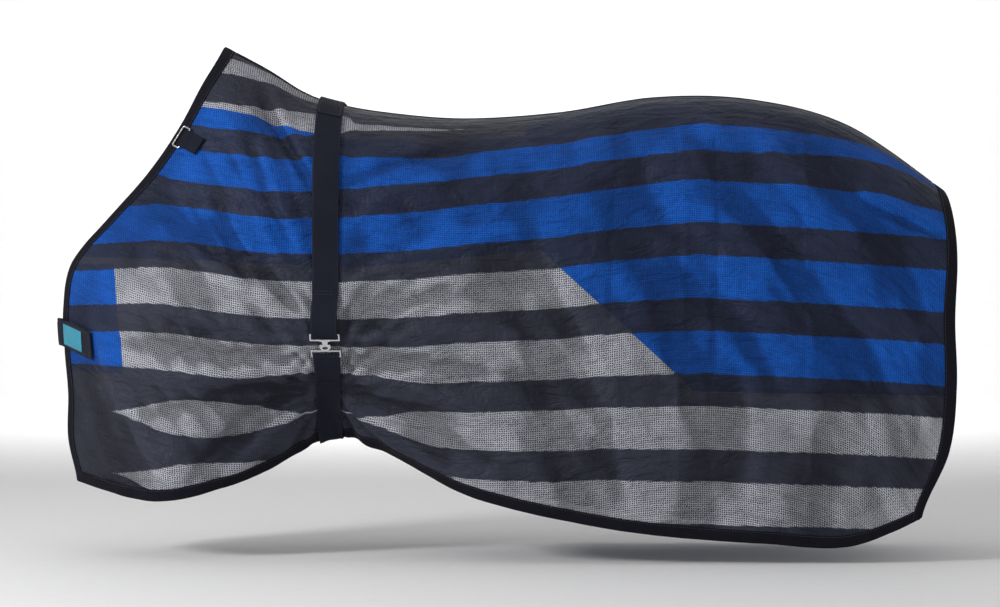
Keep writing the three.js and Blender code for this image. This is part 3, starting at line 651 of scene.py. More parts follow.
def closure_cloth(look):
    """Hook and loop pile."""
    f = Finish("closure pile", Sheen_Weight=0.5, Sheen_Roughness=0.6)
    pile = f.noise(f.cloth_place(), 900.0, 3.0, 0.8)
    clumps = f.noise(f.cloth_place(), 160.0, 2.0)
    f.colour(f.tint(f.tint(rgba(look.tape), pile, 0.5, 1.5), clumps, 0.85, 1.15))
    f.link("Roughness", f.step(pile, 0.3, 0.7, 0.85, 1.0))
    f.link("Normal", f.bump(pile, 0.0006, 1.0))
    return f.material


def sewing_thread(look):
    f = Finish("thread", Sheen_Weight=0.3, Specular_IOR_Level=0.5)
    twist = f.noise(f.object_place(), 900.0, 2.0)
    f.colour(f.tint(rgba(look.thread), twist, 0.75, 1.25))
    f.link("Roughness", f.step(twist, 0.3, 0.7, 0.45, 0.7))
    f.link("Normal", f.bump(twist, 0.0002, 0.6))
    return f.material


def studio_paper(look):
    f = Finish("studio floor", Specular_IOR_Level=0.2)
    grain = f.noise(f.object_place(), 40.0, 4.0)
    f.colour(f.tint(rgba(look.floor), grain, 0.99, 1.01))
    f.link("Roughness", f.step(grain, 0.3, 0.7, 0.8, 0.9))
    return f.material


def shared(name, maker):
    """The named finish, made once."""
    found = bpy.data.materials.get(name)
    return found or maker(bpy.context.scene.rug_look)


# ---------------------------------------------------------------- sizes and colours a user would change

class RugLook(bpy.types.PropertyGroup):
    """Sizes and colours of the rug's cloth and fittings."""

    dark_share: FloatProperty(name="Dark share", description="Share of each stripe pair that is dark",
                              default=0.43, min=0.1, max=0.9)
    net_size: FloatProperty(name="Net size", description="Width of one hole of the open net",
                            default=0.0042, min=0.001, max=0.02, unit="LENGTH", precision=4)
    net_cover: FloatProperty(name="Net cover", description="How far a hole of the open net hides what is behind it",
                             default=0.62, min=0.0, max=1.0)
    net_thread: dye("Net thread", "Silver thread of the open net", 168, 169, 177)
    # Painted shade: the shaded inside of the rug, painted into the net's holes
    net_hole_shade: dye("Net hole", "What shows in the holes of the open net", 66, 67, 74)
    lined_thread: dye("Lined thread", "Open net over the lining", 18, 80, 166)
    lined_hole: dye("Lined hole", "Lining seen in the holes of the net", 9, 52, 118)
    dark_open: dye("Dark stripe", "Close dark stripe with nothing behind it", 42, 44, 56)
    dark_lined: dye("Dark stripe, lined", "Close dark stripe over the lining", 30, 36, 56)
    lining: dye("Lining", "Smooth lining cloth", 27, 74, 150)
    tape: dye("Tape", "Edge and spine tape", 20, 20, 28)
    worn: dye("Worn tape", "Tape and webbing where it is rubbed", 38, 39, 48)
    webbing: dye("Webbing", "Surcingle and tab webbing", 29, 31, 43)
    thread: dye("Thread", "Sewing thread", 48, 50, 64)
    label: dye("Label", "Plain woven label", 22, 128, 152)
    metal: dye("Metal", "Plated clip and rings", 214, 214, 216)
    floor: dye("Floor", "Studio floor", 238, 238, 238)


SIDES = ((LEFT, "left"), (RIGHT, "right"))
EDGE_PROFILE = MM * np.array([  # distance in from the edge and height of the folded tape
    (22, 2.9), (21.2, 3.5), (19, 3.2), (16, 3.6), (10, 3.7), (4, 3.6), (0.6, 3.5), (-1.3, 2.8), (-2.2, 1.0),
    (-1.3, -0.7), (0.6, -1.4), (4, -1.5), (12, -1.5), (21, -1.4), (22, -1.0)])
TAPE_THICKNESS = 0.8 * MM
SEAM_IN = 19 * MM
CORNER = BINDING_WIDTH + 2 * MM


def lined_rows(x, low):
    """Height of the lining's top or bottom edge at places along the rug."""
    return np.interp(x, LINED_LOW_X, LINED_LOW_Z) if low else np.interp(x, LINED_TOP_X, LINED_TOP_Z)


def v_at_z(u, z):
    """v at which each column of the smooth cloth passes a height."""
    column = table_value_column(u)
    return np.array([np.interp(-zi, -c, TABLE_V) for zi, c in zip(z, column)])


def table_value_column(u):
    i = np.clip(u * TABLE_COLUMNS, 0, TABLE_COLUMNS - MM)
    a = i.astype(int)
    s = (i - a)[:, None]
    return TABLE[a, :, 2] * (1 - s) + TABLE[a + 1, :, 2] * s


def u_at_x(v, x=0.0):
    """u at which each row of the smooth cloth passes a place along the rug."""
    j = np.interp(v, TABLE_V, np.arange(TABLE_ROWS + 1)).clip(0, TABLE_ROWS - MM)
    a = j.astype(int)
    t = (j - a)[:, None]
    rows = TABLE[:, a, 0].T * (1 - t) + TABLE[:, a + 1, 0].T * t
    return np.array([np.interp(xi, row, TABLE_U) for xi, row in zip(np.broadcast_to(x, len(v)), rows)])


class RUG_OT_cloth(bpy.types.Operator):
    """Weaves the two striped side panels, with their folds."""

    bl_idname = "rug.cloth"
    bl_label = "Side panels"

    def execute(self, context):
        u, v = np.meshgrid(np.linspace(0, 1, 301), even_rows(161), indexing="ij")
        x, down, stripe, lined, darkening_and_painted_shade = weave_at(u, v)
        for side, word in SIDES:
            points = cloth_at(u, v, CLOTH_OUT, side)
            level = smooth_side(u, v)[..., 2]
            # Painted shade for fold valleys and painted light for fold crests, from the fold height
            painted_fold_shading = np.clip(0.5 - fold_height(u, v, x, level, side) / FOLD_SHADE, 0, 1)
            # The stripes' darkening, partly painted shade, goes on as an attribute
            piece = grid_piece(f"{word}_cloth", points, np.stack([x, down], -1), (0, side, 0),
                               {"stripe": stripe, "lined": lined, "darkening_and_painted_shade": darkening_and_painted_shade, "painted_fold_shading": painted_fold_shading})
            thicken(piece, 1.6 * MM)
            finish_piece(piece, shared("striped mesh", striped_mesh), "rug", [f"{word}_side_panel"])
        return {"FINISHED"}


class RUG_OT_linings(bpy.types.Operator):
    """Cuts the blue back and chest linings."""

    bl_idname = "rug.linings"
    bl_label = "Linings"

    def execute(self, context):
        c = np.linspace(0, 1, 161)
        straight = 0.034 + 0.948 * c
        guess = table_value(TABLE[..., 0], straight, np.full(161, 0.35))
        top = np.maximum(v_at_z(straight, lined_rows(guess, False)), 0.014)
        low = v_at_z(straight, lined_rows(guess, True))
        share = np.linspace(0, 1, 61)
        v = top[:, None] + (low - top)[:, None] * share[None, :]
        inset = BINDING_WIDTH + 4 * MM
        marks = np.linspace(0, 1, 101)
        front = np.interp(v, marks, fraction_in("front", marks, np.array([inset]))[:, 0])
        tail = np.interp(v, marks, fraction_in("tail", marks, np.array([inset]))[:, 0])
        u = front + (tail - front) * c[:, None]
        x, down, *_ = weave_at(u, v)
        chest_v, chest_d = np.meshgrid(np.linspace(0, 1, 41), np.linspace(inset, 118 * MM, 25), indexing="xy")
        z = -0.33 - 0.19 * chest_v
        for side, word in SIDES:
            piece = grid_piece(f"{word}_back_cloth", cloth_at(u, v, -1.2 * MM, side), np.stack([x, down], -1),
                               (0, side, 0))
            thicken(piece, 0.9 * MM)
            finish_piece(piece, shared("blue lining", lining_cloth), "rug", [f"{word}_back_lining"])
            points, flat = chest_grid(chest_d, z, -1.2 * MM, side)
            piece = grid_piece(f"{word}_chest_cloth", points, flat, (-0.5, side, 0))
            thicken(piece, 0.9 * MM)
            finish_piece(piece, shared("blue lining", lining_cloth), "rug", [f"{word}_chest_lining"])
        return {"FINISHED"}


def chest_grid(distance, z, height, side):
    """Points behind or over the chest, at distances in from the front edge and at levels there."""
    level = smooth_side(np.zeros(201), np.linspace(0, 1, 201))[:, 2]
    v = np.interp(-z, -level, np.linspace(0, 1, 201))
    steps = np.linspace(0, 0.22, 60)
    row = smooth_side(steps[None, :], v.ravel()[:, None])
    away = np.linalg.norm(row - row[:, :1], axis=2)
    flat_distance = distance.ravel()
    u = np.array([np.interp(d, a, steps) for d, a in zip(np.maximum(flat_distance, 0), away)]).reshape(v.shape)
    points = cloth_at(u, v, height, side)
    edge, inner = cloth_at(np.zeros(v.shape), v, height, side), cloth_at(np.full(v.shape, steps[2]), v, height, side)
    way = edge - inner
    way /= np.linalg.norm(way, axis=-1, keepdims=True)
    past = np.clip(-distance, 0, 1)[..., None]
    reach = (side * SEAM_GAP / 2 - edge[..., 1:2]) / way[..., 1:2]
    return points + way * reach * past, np.stack([distance, -z], -1)


class RUG_OT_bindings(bpy.types.Operator):
    """Folds tape round the edges, and lays the spine band."""

    bl_idname = "rug.bindings"
    bl_label = "Edge and spine tape"

    def execute(self, context):
        tape = shared("edge tape", tape_cloth)
        hem_ends = (fraction_in("front", np.array([1.0]), np.array([2 * MM]))[0, 0],
                    fraction_in("tail", np.array([1.0]), np.array([2 * MM]))[0, 0])
        runs = (("front", even_rows(240), (-1, 0, 0)), ("tail", even_rows(220), (1, 0, 0)),
                ("hem", np.linspace(*hem_ends, 420), (0, 0, -1)))
        for side, word in SIDES:
            for kind, marks, facing in runs:
                puckers = 0.18 * MM * np.sin(np.arange(len(marks)) * 2.1 + side)[:, None]
                points = edge_at(kind, marks, EDGE_PROFILE[:, 0], EDGE_PROFILE[:, 1], side)
                out = way_out_along(kind, marks, side)
                leg = np.clip(np.sin(np.linspace(0, 2 * math.pi, len(EDGE_PROFILE))), 0, 1)[None, :]
                points += out[:, None, :] * (puckers * leg)[..., None]
                piece = grid_piece(f"{word}_{kind}_tape", points, tape_places(points), facing)
                thicken(piece, TAPE_THICKNESS)
                finish_piece(piece, tape, "rug", [f"{word}_{kind}_binding"])
        marks = np.linspace(fraction_in("front", np.array([0.0]), np.array([CORNER]))[0, 0],
                            fraction_in("tail", np.array([0.0]), np.array([CORNER]))[0, 0], 420)
        across = MM * np.array([18, 17.4, 15, 12, 8, 4, 1.5])
        height = MM * np.array([2.9, 3.5, 3.3, 3.7, 3.9, 3.9, 3.9])
        left = edge_at("spine", marks, across, height, LEFT)
        right = edge_at("spine", marks, across, height, RIGHT)[:, ::-1]
        middle = (left[:, -1:] + right[:, :1]) / 2
        points = np.concatenate([left, middle, right], 1)
        piece = grid_piece("spine_band", points, tape_places(points), (0, 0, 1))
        thicken(piece, TAPE_THICKNESS)
        finish_piece(piece, tape, "rug", ["spine_tape"])
        return {"FINISHED"}


def way_out_along(kind, marks, side):
    inner = fraction_in(kind, marks, np.array([10 * MM]))[:, 0]
    out = way_out(marks, inner) if kind in ("hem", "spine") else way_out(inner, marks)
    return to_side(out, side)


def tape_places(points):
    """Metres across and along a strip: rows run along it."""
    middle = points.shape[1] // 2
    along = run_along(points[:, middle])
    across = run_along(points.mean(0))
    across -= across[-1] / 2
    return flat_places(across, along)


# ---------------------------------------------------------------- surcingle

GIRTH_ROWS = np.concatenate([CROWN_SHARE * (1 - np.cos(np.linspace(0, math.pi / 2, 8))),
                             np.linspace(CROWN_SHARE, TUCK_START, 6)[1:], np.linspace(TUCK_START, 1, 7)[1:]])
GIRTH_POINTS = smooth_side(u_at_x(GIRTH_ROWS), GIRTH_ROWS)
GIRTH = run_along(GIRTH_POINTS)
SIDE_GIRTH, HEM_HALF = GIRTH[-1], -GIRTH_POINTS[-1, 1]
GIRTH_MIDDLE = SIDE_GIRTH + HEM_HALF
STRAP_RIDE = 6.85 * MM
HEM_RIDE = 9.65 * MM
PLATE_HEIGHT = 11.7 * MM
HOOK_HEIGHT = 15.3 * MM
FOLD_RADIUS = 4.85 * MM
HOOK_BAR, PLATE_BAR = 585 * MM, 630 * MM
HALF_CLIP = 23.61 * MM
CLIP_ORIGIN = np.array((-0.9, -223.089, -473.252)) * MM
CLIP_WAYS = np.array(((0.99517, -0.09818, 0.00063), (-0.03991, -0.39875, 0.91619), (-0.0897, -0.91179, -0.40075)))


def girth_at(across, length, height):
    """Points on the surcingle's way round the body: across it, along it from the spine, and off the cloth."""
    across, length, height = (a.ravel() for a in np.broadcast_arrays(across, length, height))
    far = length > GIRTH_MIDDLE
    near = np.where(far, 2 * GIRTH_MIDDLE - length, length)
    v = np.interp(np.minimum(near, SIDE_GIRTH), GIRTH, GIRTH_ROWS)
    level = ease(near, 0.3, 0.42) * (1 - ease(near, SIDE_GIRTH - 0.12, SIDE_GIRTH - 0.04))
    z = smooth_side(u_at_x(v), v)[:, 2]
    v_level = v_at_z(u_at_x(v, across), z)
    v = v + (v_level - v) * level
    u = u_at_x(v, across)
    points = np.where(far[:, None], cloth_at(u, v, height, RIGHT), cloth_at(u, v, height, LEFT))
    under = near > SIDE_GIRTH
    points[:, 1] *= np.where(under, (GIRTH_MIDDLE - near) / HEM_HALF, 1)
    for bar, way in ((HOOK_BAR, 1), (PLATE_BAR, -1)):
        beside = np.stack([across, way * HALF_CLIP - (length - bar), height - PLATE_HEIGHT], 1)
        beside = CLIP_ORIGIN + beside @ CLIP_WAYS
        share = (1 - ease(np.abs(length - bar), 0.024, 0.075))[:, None]
        points = points + (beside - points) * share
    return points


def strap_grid(path, width=STRAP_WIDTH, columns=9):
    """Mid surface of webbing along a path of lengths and heights, and its flat places."""
    path = np.asarray(path)
    across = np.linspace(-width / 2, width / 2, columns)
    points = girth_at(across[None, :], path[:, :1], path[:, 1:]).reshape(len(path), columns, 3)
    along = run_along(path)
    return points, flat_places(across, along)


def rounded_path(path, rounds=2, step=0.012):
    """A path of lengths and heights with its corners eased and points close together."""
    dense = [path[0]]
    for a, b in zip(path[:-1], path[1:]):
        count = max(1, int(math.dist(a, b) / step))
        dense += [tuple(np.array(a) + (np.array(b) - a) * (k + 1) / count) for k in range(count)]
    line = np.array(dense, float)
    for _ in range(rounds):
        cut = np.stack([0.75 * line[:-1] + 0.25 * line[1:], 0.25 * line[:-1] + 0.75 * line[1:]], 1).reshape(-1, 2)
        line = np.concatenate([line[:1], cut, line[-1:]])
    return line


def fold_round(bar, height, way):
    """Webbing folded back round a bar; way is 1 from above and -1 from below."""
    turn = np.linspace(math.pi / 2, -math.pi / 2, 13)
    fold = [(-0.068, STRAP_RIDE), (-0.038, STRAP_RIDE + 3.7 * MM), (-0.0152, height + FOLD_RADIUS)]
    fold += [(FOLD_RADIUS * math.cos(a), height + FOLD_RADIUS * math.sin(a)) for a in turn]
    fold += [(-0.0152, height - FOLD_RADIUS), (-0.034, STRAP_RIDE)]
    return [(bar + way * x, h) for x, h in fold]


class RUG_OT_surcingle(bpy.types.Operator):
    """Lays the surcingle webbing round the body, and its sewn anchor patches."""

    bl_idname = "rug.surcingle"
    bl_label = "Surcingle"

    def execute(self, context):
        webbing = shared("surcingle webbing", strap_webbing)
        upper = [(2 * MM, STRAP_RIDE), (0.5, STRAP_RIDE), *fold_round(HOOK_BAR, HOOK_HEIGHT, 1)]
        edge = SIDE_GIRTH - BINDING_WIDTH
        lower = [*fold_round(PLATE_BAR, PLATE_HEIGHT, -1)[::-1], (edge, STRAP_RIDE), (SIDE_GIRTH, HEM_RIDE),
                 (2 * GIRTH_MIDDLE - SIDE_GIRTH, HEM_RIDE), (2 * GIRTH_MIDDLE - edge, STRAP_RIDE),
                 (2 * GIRTH_MIDDLE - 2 * MM, STRAP_RIDE)]
        for name, path, node in (("upper_webbing", upper, "surcingle_upper_strap"),
                                 ("lower_webbing", lower, "surcingle_lower_strap")):
            points, flat = strap_grid(rounded_path(path))
            piece = grid_piece(name, points, flat, None)
            thicken(piece, 2.1 * MM, 0.0, 0.5 * MM)
            finish_piece(piece, webbing, "rug", [node])
        for side, word in SIDES:
            lengths = np.linspace(16 * MM, 132 * MM, 40)
            heights = 9.5 * MM - 0.5 * MM * (np.abs(np.linspace(-1, 1, 40)) > 0.94)
            if side == RIGHT:
                lengths = 2 * GIRTH_MIDDLE - lengths
            points, flat = strap_grid(np.stack([lengths, heights], 1), 48 * MM, 13)
            piece = grid_piece(f"{word}_anchor_webbing", points, flat, None)
            thicken(piece, 1.5 * MM, 0.0, 0.5 * MM)
            finish_piece(piece, webbing, "rug", [f"{word}_anchor_patch"])
        return {"FINISHED"}


# ---------------------------------------------------------------- fittings

RING_ORIGIN = np.array((-281.252, -122.885, -74.123)) * MM
RING_WAYS = np.array(((-0.51684, -0.10962, -0.84903), (0.73574, -0.56393, -0.37506), (-0.43768, -0.81851, 0.37212)))


def ring_place(points, side):
    placed = RING_ORIGIN + np.asarray(points) @ RING_WAYS
    return to_side(placed, side)


def softened(name, node, width):
    """A copy of a fixed node with its sharp edges rounded."""
    bm = bmesh.new()
    bm.from_mesh(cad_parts[node].data)
    bmesh.ops.remove_doubles(bm, verts=bm.verts, dist=0.01 * MM)
    sharp = [e for e in bm.edges if len(e.link_faces) == 2 and e.calc_face_angle() > math.radians(35)]
    bmesh.ops.bevel(bm, geom=sharp, offset=width, offset_type="OFFSET", segments=3, profile=0.5,
                    affect="EDGES", clamp_overlap=True, material=-1)
    mesh = bpy.data.meshes.new(name)
    bm.to_mesh(mesh)
    bm.free()
    piece = new_object(name, mesh)
    piece.modifiers.new("even shading", "WEIGHTED_NORMAL").keep_sharp = True
    return piece


def closed_tube(name, path, radius, sections=14):
    """A round wire along a path of points that loops back to its start, in the plane of the path."""
    path = np.asarray(path)
    tangent = np.roll(path, -1, 0) - np.roll(path, 1, 0)
    tangent /= np.linalg.norm(tangent, axis=1, keepdims=True)
    plane = np.cross(path[0] - path.mean(0), path[len(path) // 5] - path.mean(0))
    plane /= np.linalg.norm(plane)
    beside = np.cross(tangent, plane)
    turn = np.linspace(0, 2 * math.pi, sections + 1)
    rings = (path[:, None] + radius * (np.cos(turn)[None, :, None] * beside[:, None]
                                       + np.sin(turn)[None, :, None] * plane[None, None]))
    rings = np.concatenate([rings, rings[:1]], 0)
    piece = grid_piece(name, rings, None, None)
    bm = bmesh.new()
    bm.from_mesh(piece.data)
    bmesh.ops.remove_doubles(bm, verts=bm.verts, dist=0.01 * MM)
    bmesh.ops.recalc_face_normals(bm, faces=bm.faces)
    bm.to_mesh(piece.data)
    bm.free()
    return piece


class RUG_OT_fittings(bpy.types.Operator):
    """Makes the clip's two halves, the neck rings and their webbing tabs."""

    bl_idname = "rug.fittings"
    bl_label = "Clip and rings"

    def execute(self, context):
        metal, webbing = shared("plated steel", bright_metal), shared("surcingle webbing", strap_webbing)
        for name, node, body in (("hook_half", "surcingle_hook", "clip_hook"),
                                 ("plate_half", "surcingle_plate", "clip_plate")):
            finish_piece(softened(name, node, 0.7 * MM), metal, body, [node])
        corner, half_long, half_wide = 2.6 * MM, 21.4 * MM, 8.9 * MM
        path = []
        for cx, cy, start in ((1, 1, 0), (-1, 1, 1), (-1, -1, 2), (1, -1, 3)):
            centre = np.array((cx * (half_long - corner), cy * (half_wide - corner) - half_wide))
            for a in np.linspace(start, start + 1, 9) * math.pi / 2:
                path.append((*(centre + corner * np.array((math.cos(a), math.sin(a)))), 0))
        for side, word in SIDES:
            ring = closed_tube(f"{word}_ring", ring_place(spread_round(path, 1.5 * MM), side), 1.6 * MM)
            finish_piece(ring, metal, f"{word}_ring", [f"{word}_neck_ring"])
            turn = np.linspace(1.5 * math.pi, 0.5 * math.pi, 13)
            fold = [(0.042, -2.85 * MM), (0.03, -2.85 * MM), (0.018, -2.85 * MM), (0.008, -2.85 * MM)]
            fold += [(2.85 * MM * math.cos(a), 2.85 * MM * math.sin(a)) for a in turn]
            fold += [(5 * MM, 2.45 * MM), (9.5 * MM, 0.9 * MM), (14 * MM, -0.55 * MM), (0.022, -0.55 * MM),
                     (0.032, -0.55 * MM), (0.042, -0.55 * MM)]
            fold = np.array(fold)
            across = np.linspace(-18 * MM, 18 * MM, 9)
            grid = np.stack([np.broadcast_to(across[None, :], (len(fold), 9)),
                             np.broadcast_to(fold[:, :1], (len(fold), 9)),
                             np.broadcast_to(fold[:, 1:], (len(fold), 9))], -1)
            along = run_along(fold)
            flat = flat_places(across, along)
            tab = grid_piece(f"{word}_ring_webbing", ring_place(grid, side), flat, None)
            thicken(tab, 1.5 * MM, 0.0, 0.4 * MM)
            finish_piece(tab, webbing, "rug", [f"{word}_ring_tab"])
        return {"FINISHED"}


def spread_round(path, step):
    """A looped path with points no further apart than a step."""
    path, dense = np.array(path, float), []
    for a, b in zip(path, np.roll(path, -1, 0)):
        count = max(1, int(np.linalg.norm(b - a) / step))
        dense += [a + (b - a) * k / count for k in range(count)]
    return np.array(dense)


class RUG_OT_chest(bpy.types.Operator):
    """Makes the chest closure: padded tab and base, plain label, and hook and loop strips."""

    bl_idname = "rug.chest"
    bl_label = "Chest closure"

    def execute(self, context):
        webbing, pile = shared("surcingle webbing", strap_webbing), shared("closure pile", closure_cloth)
        reach = np.concatenate([[-1, -0.5], np.linspace(0, 104 * MM, 53)])
        pieces = (
            ("tab_pad", LEFT, reach, 27, 9.2, 2.0, 1.3, webbing, "chest_tab", "tab_cloth", "chest_tab"),
            ("tab_base_pad", RIGHT, np.concatenate([[-1, -0.5], np.linspace(0, 58 * MM, 30)]), 27, 9.2, 2.0, 0.8,
             webbing, "rug", "tab_cloth", "chest_tab_base"),
            ("plain_label", LEFT, np.linspace(16 * MM, 76 * MM, 31), 20, 11.5, 0.8, 0.0,
             shared("plain label", label_cloth), "chest_tab", "label", "chest_tab_label"),
            ("loop_pile", LEFT, np.linspace(46 * MM, 96 * MM, 21), 20, 4.7, 0.9, 0.0, pile, "rug", "closure",
             "chest_loop_strip"),
            ("hook_pile", LEFT, np.linspace(46 * MM, 96 * MM, 21), 20, 6.5, 0.9, 0.0, pile, "chest_tab", "closure",
             "chest_hook_strip"),
        )
        for name, side, across, half, outer, thickness, crown, material, body, slot, node in pieces:
            levels = np.linspace(half, -half, 27) * MM
            d, h = np.meshgrid(across, levels, indexing="ij")
            z = -0.452 + h - 0.1 * np.maximum(d, 0)
            share = np.minimum((half * MM - np.abs(h)) / (5 * MM), (across[-1] - d) / (5 * MM)).clip(0, 1)
            rise = crown * np.sqrt(share) * (1 - 0.35 * np.exp(-(((half * MM - np.abs(h)) - 6 * MM) / (1.4 * MM)) ** 2))
            points, flat = chest_grid(d, z, (outer + rise) * MM, side)
            piece = grid_piece(name, points, flat, (-0.4, side, 0))
            thicken(piece, thickness * MM, -1.0, 0.35 * MM)
            finish_piece(piece, material, body, [node])
        return {"FINISHED"}


# ---------------------------------------------------------------- sewing

def sewn_row(bm, points, outs, pitch=5.5 * MM, length=3.8 * MM, width=0.8 * MM):
    """Stitches along a line of points, each a small rounded thread."""
    points, outs = np.asarray(points), np.asarray(outs)
    along = run_along(points)
    count = int(along[-1] / pitch)
    for k in range(count):
        ends = [np.array([np.interp(k * pitch + shift, along, points[:, a]) for a in range(3)])
                for shift in (0.0, length)]
        out = np.array([np.interp(k * pitch, along, outs[:, a]) for a in range(3)])
        way = Vector(ends[1] - ends[0])
        if way.length < 1e-6:
            continue
        x = way.normalized()
        z = (Vector(out) - x * Vector(out).dot(x)).normalized()
        y = z.cross(x)
        basis = Matrix((x * (way.length / 2), y * (width / 2), z * (width * 0.42))).transposed().to_4x4()
        basis.translation = Vector((ends[0] + ends[1]) / 2)
        bmesh.ops.create_icosphere(bm, subdivisions=1, radius=1.0, matrix=basis)


def cloth_row(bm, places, height, side):
    """Stitches on the cloth along places given as x and z, left or right."""
    places = np.asarray(places, float)
    along = run_along(places)
    steps = np.linspace(0, along[-1], max(8, int(along[-1] / 0.006)))
    x, z = (np.interp(steps, along, places[:, k]) for k in range(2))
    v = np.full(len(x), 0.4)
    for _ in range(6):
        u = u_at_x(v, x)
        v = v_at_z(u, z)
    out = to_side(way_out(u, v), side)
    sewn_row(bm, cloth_at(u, v, height, side), out)


class RUG_OT_sewing(bpy.types.Operator):
    """Sews the tapes, linings, webbing and tabs down."""

    bl_idname = "rug.sewing"
    bl_label = "Stitching"

    def execute(self, context):
        thread = shared("thread", sewing_thread)
        for side, word in SIDES:
            bm = bmesh.new()
            for kind, marks in (("front", even_rows(240)), ("tail", even_rows(220)),
                                ("hem", np.linspace(0.03, 0.985, 420)), ("spine", np.linspace(0.03, 0.985, 420))):
                inset = 14.8 * MM if kind == "spine" else SEAM_IN
                points = edge_at(kind, marks, [inset], [3.55 * MM], side)[:, 0]
                sewn_row(bm, points, way_out_along(kind, marks, side))
            low = [(x, z) for x, z in zip(LINED_LOW_X, LINED_LOW_Z) if 0.3 < x < 1.2] + [(1.17, -0.572)]
            cloth_row(bm, low, 2.3 * MM, side)
            cloth_row(bm, [(1.012, -0.203), (1.10, -0.233), (1.175, -0.268)], 2.3 * MM, side)
            stitched(bm, f"{word}_sewing", thread, "rug")
        bm = bmesh.new()
        for side in (LEFT, RIGHT):
            box = [(-1, 20), (1, 20), (1, 128), (-1, 128), (-1, 20)]
            for line in (box, [(-1, 22), (1, 74)], [(1, 22), (-1, 74)], [(-1, 74), (1, 74)]):
                strap_row(bm, line, 10.4 * MM, side)
        for length in (506, 512, 690, 696):
            strap_row(bm, [(-1, length), (1, length)], 8.1 * MM, LEFT)
        stitched(bm, "webbing_sewing", thread, "rug")
        bm = bmesh.new()
        d = np.linspace(4 * MM, 98 * MM, 60)
        for h in (-21.5 * MM, 21.5 * MM):
            z = -0.452 + h - 0.1 * d
            points, _ = chest_grid(d, z, 10.4 * MM, LEFT)
            sewn_row(bm, points, np.broadcast_to((-0.5, -0.86, 0), points.shape))
        h = np.linspace(-21.5 * MM, 21.5 * MM, 20)
        points, _ = chest_grid(np.full(20, 98 * MM), -0.452 + h - 0.0098, 10.4 * MM, LEFT)
        sewn_row(bm, points, np.broadcast_to((-0.5, -0.86, 0), points.shape))
        stitched(bm, "tab_sewing", thread, "chest_tab")
        return {"FINISHED"}


def strap_row(bm, corners, height, side):
    """Stitches on the surcingle along corners given as shares across and mm along."""
    corners = np.asarray(corners, float) * (20.5 * MM, MM)
    along = run_along(corners)
    steps = np.linspace(0, along[-1], max(6, int(along[-1] / 0.004)))
    across, length = (np.interp(steps, along, corners[:, k]) for k in range(2))
    if side == RIGHT:
        length = 2 * GIRTH_MIDDLE - length
    low, high = girth_at(across, length, height), girth_at(across, length, height + MM)
    sewn_row(bm, low, high - low, 4.6 * MM, 3.2 * MM)


def stitched(bm, name, material, body):
    mesh = bpy.data.meshes.new(name)
    bm.to_mesh(mesh)
    bm.free()
    finish_piece(new_object(name, mesh), material, body)


# ---------------------------------------------------------------- stage

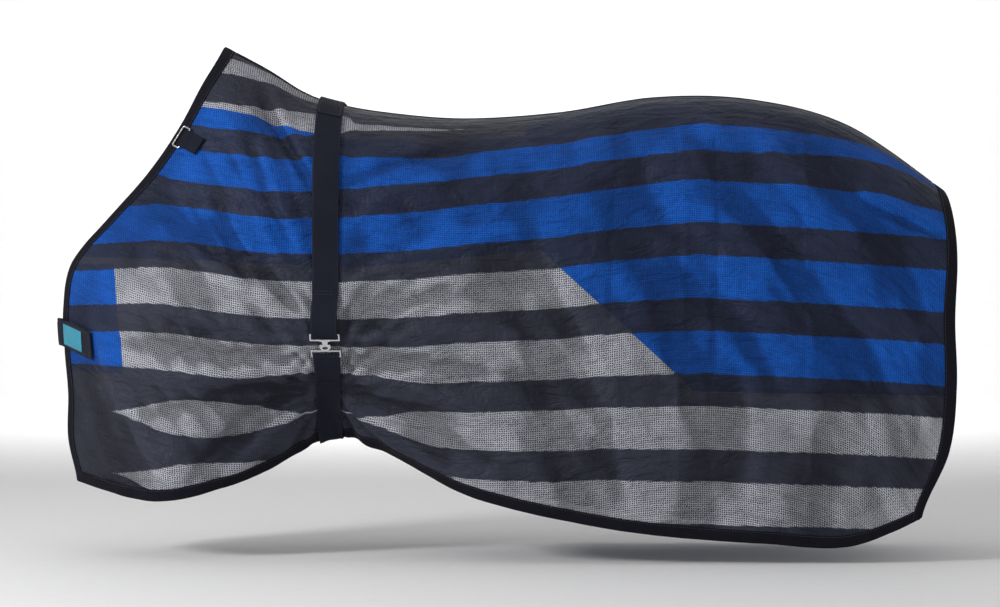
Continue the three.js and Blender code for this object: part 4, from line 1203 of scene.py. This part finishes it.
class RUG_OT_stage(bpy.types.Operator):
    """Lays the pale floor, and sets the lights and the camera."""

    bl_idname = "rug.stage"
    bl_label = "Studio"

    def execute(self, context):
        scene = context.scene
        floor = cad_low.z - 0.03
        turn = np.linspace(0, math.pi / 2, 17)
        line = [(-8.0, floor), (7.0, floor)]
        line += [(7.0 + 1.2 * math.sin(a), floor + 1.2 * (1 - math.cos(a))) for a in turn[1:]]
        line += [(8.2, 6.0)]
        x = np.array([-8.0, 9.0])
        line = np.array(line)
        points = np.stack([np.broadcast_to(x[None, :], (len(line), 2)), np.broadcast_to(line[:, :1], (len(line), 2)),
                           np.broadcast_to(line[:, 1:], (len(line), 2))], -1)
        paper = grid_piece("studio_floor", points, None, None)
        paper.data.materials.append(shared("studio floor", studio_paper))
        middle = (cad_low + cad_high) / 2
        wall = Vector((middle.x, 8.2, 0.2))
        for name, place, size, power, aim in (
                ("key", (-2.7, -2.3, 1.1), 0.7, 88, middle), ("fill", (2.9, -3.2, 0.6), 2.4, 14, middle),
                ("top", (0.4, -0.2, 3.0), 2.6, 12, middle), ("wall", (0.3, 4.6, 2.8), 3.0, 190, wall)):
            lamp = bpy.data.lights.new(name, "AREA")
            lamp.size = size
            lamp.energy = power
            made = bpy.data.objects.new(name, lamp)
            made.location = place
            made.rotation_mode = "QUATERNION"
            made.rotation_quaternion = (aim - Vector(place)).to_track_quat("-Z", "Y")
            scene.collection.objects.link(made)
        world = bpy.data.worlds.new("studio")
        world.use_nodes = True
        background = world.node_tree.nodes["Background"]
        background.inputs[0].default_value = (1, 1, 1, 1)
        background.inputs[1].default_value = 0.46
        scene.world = world
        lens = bpy.data.cameras.new("camera")
        lens.lens = 100
        lens.sensor_width = 36
        near = cad_low.y
        away = 0.95 / (18 / 100)
        camera = bpy.data.objects.new("camera", lens)
        camera.location = (0.3325, near - away, -0.3935 + 0.05)
        camera.rotation_euler = (math.pi / 2 - math.atan(0.05 / away), 0, 0)
        scene.collection.objects.link(camera)
        scene.camera = camera
        scene.view_settings.view_transform = "Standard"
        return {"FINISHED"}


class RUG_PT_panel(bpy.types.Panel):
    """Lists the rug's sizes, colours and steps."""

    bl_idname = "RUG_PT_panel"
    bl_label = "Turnout rug"
    bl_space_type = "VIEW_3D"
    bl_region_type = "UI"
    bl_category = "Rug"

    def draw(self, context):
        for key in RugLook.__annotations__:
            self.layout.prop(context.scene.rug_look, key)
        for step in STEPS:
            self.layout.operator(step.bl_idname)


STEPS = (RUG_OT_stage, RUG_OT_cloth, RUG_OT_linings, RUG_OT_bindings, RUG_OT_surcingle, RUG_OT_fittings,
         RUG_OT_chest, RUG_OT_sewing)
CLASSES = (RugLook, *STEPS, RUG_PT_panel)


def register():
    for made in CLASSES:
        bpy.utils.register_class(made)
    bpy.types.Scene.rug_look = PointerProperty(type=RugLook)


def unregister():
    del bpy.types.Scene.rug_look
    for made in reversed(CLASSES):
        bpy.utils.unregister_class(made)


def main():
    register()
    for step in STEPS:
        getattr(bpy.ops.rug, step.bl_idname.split(".")[1])()


if __name__ == "__main__":
    main()
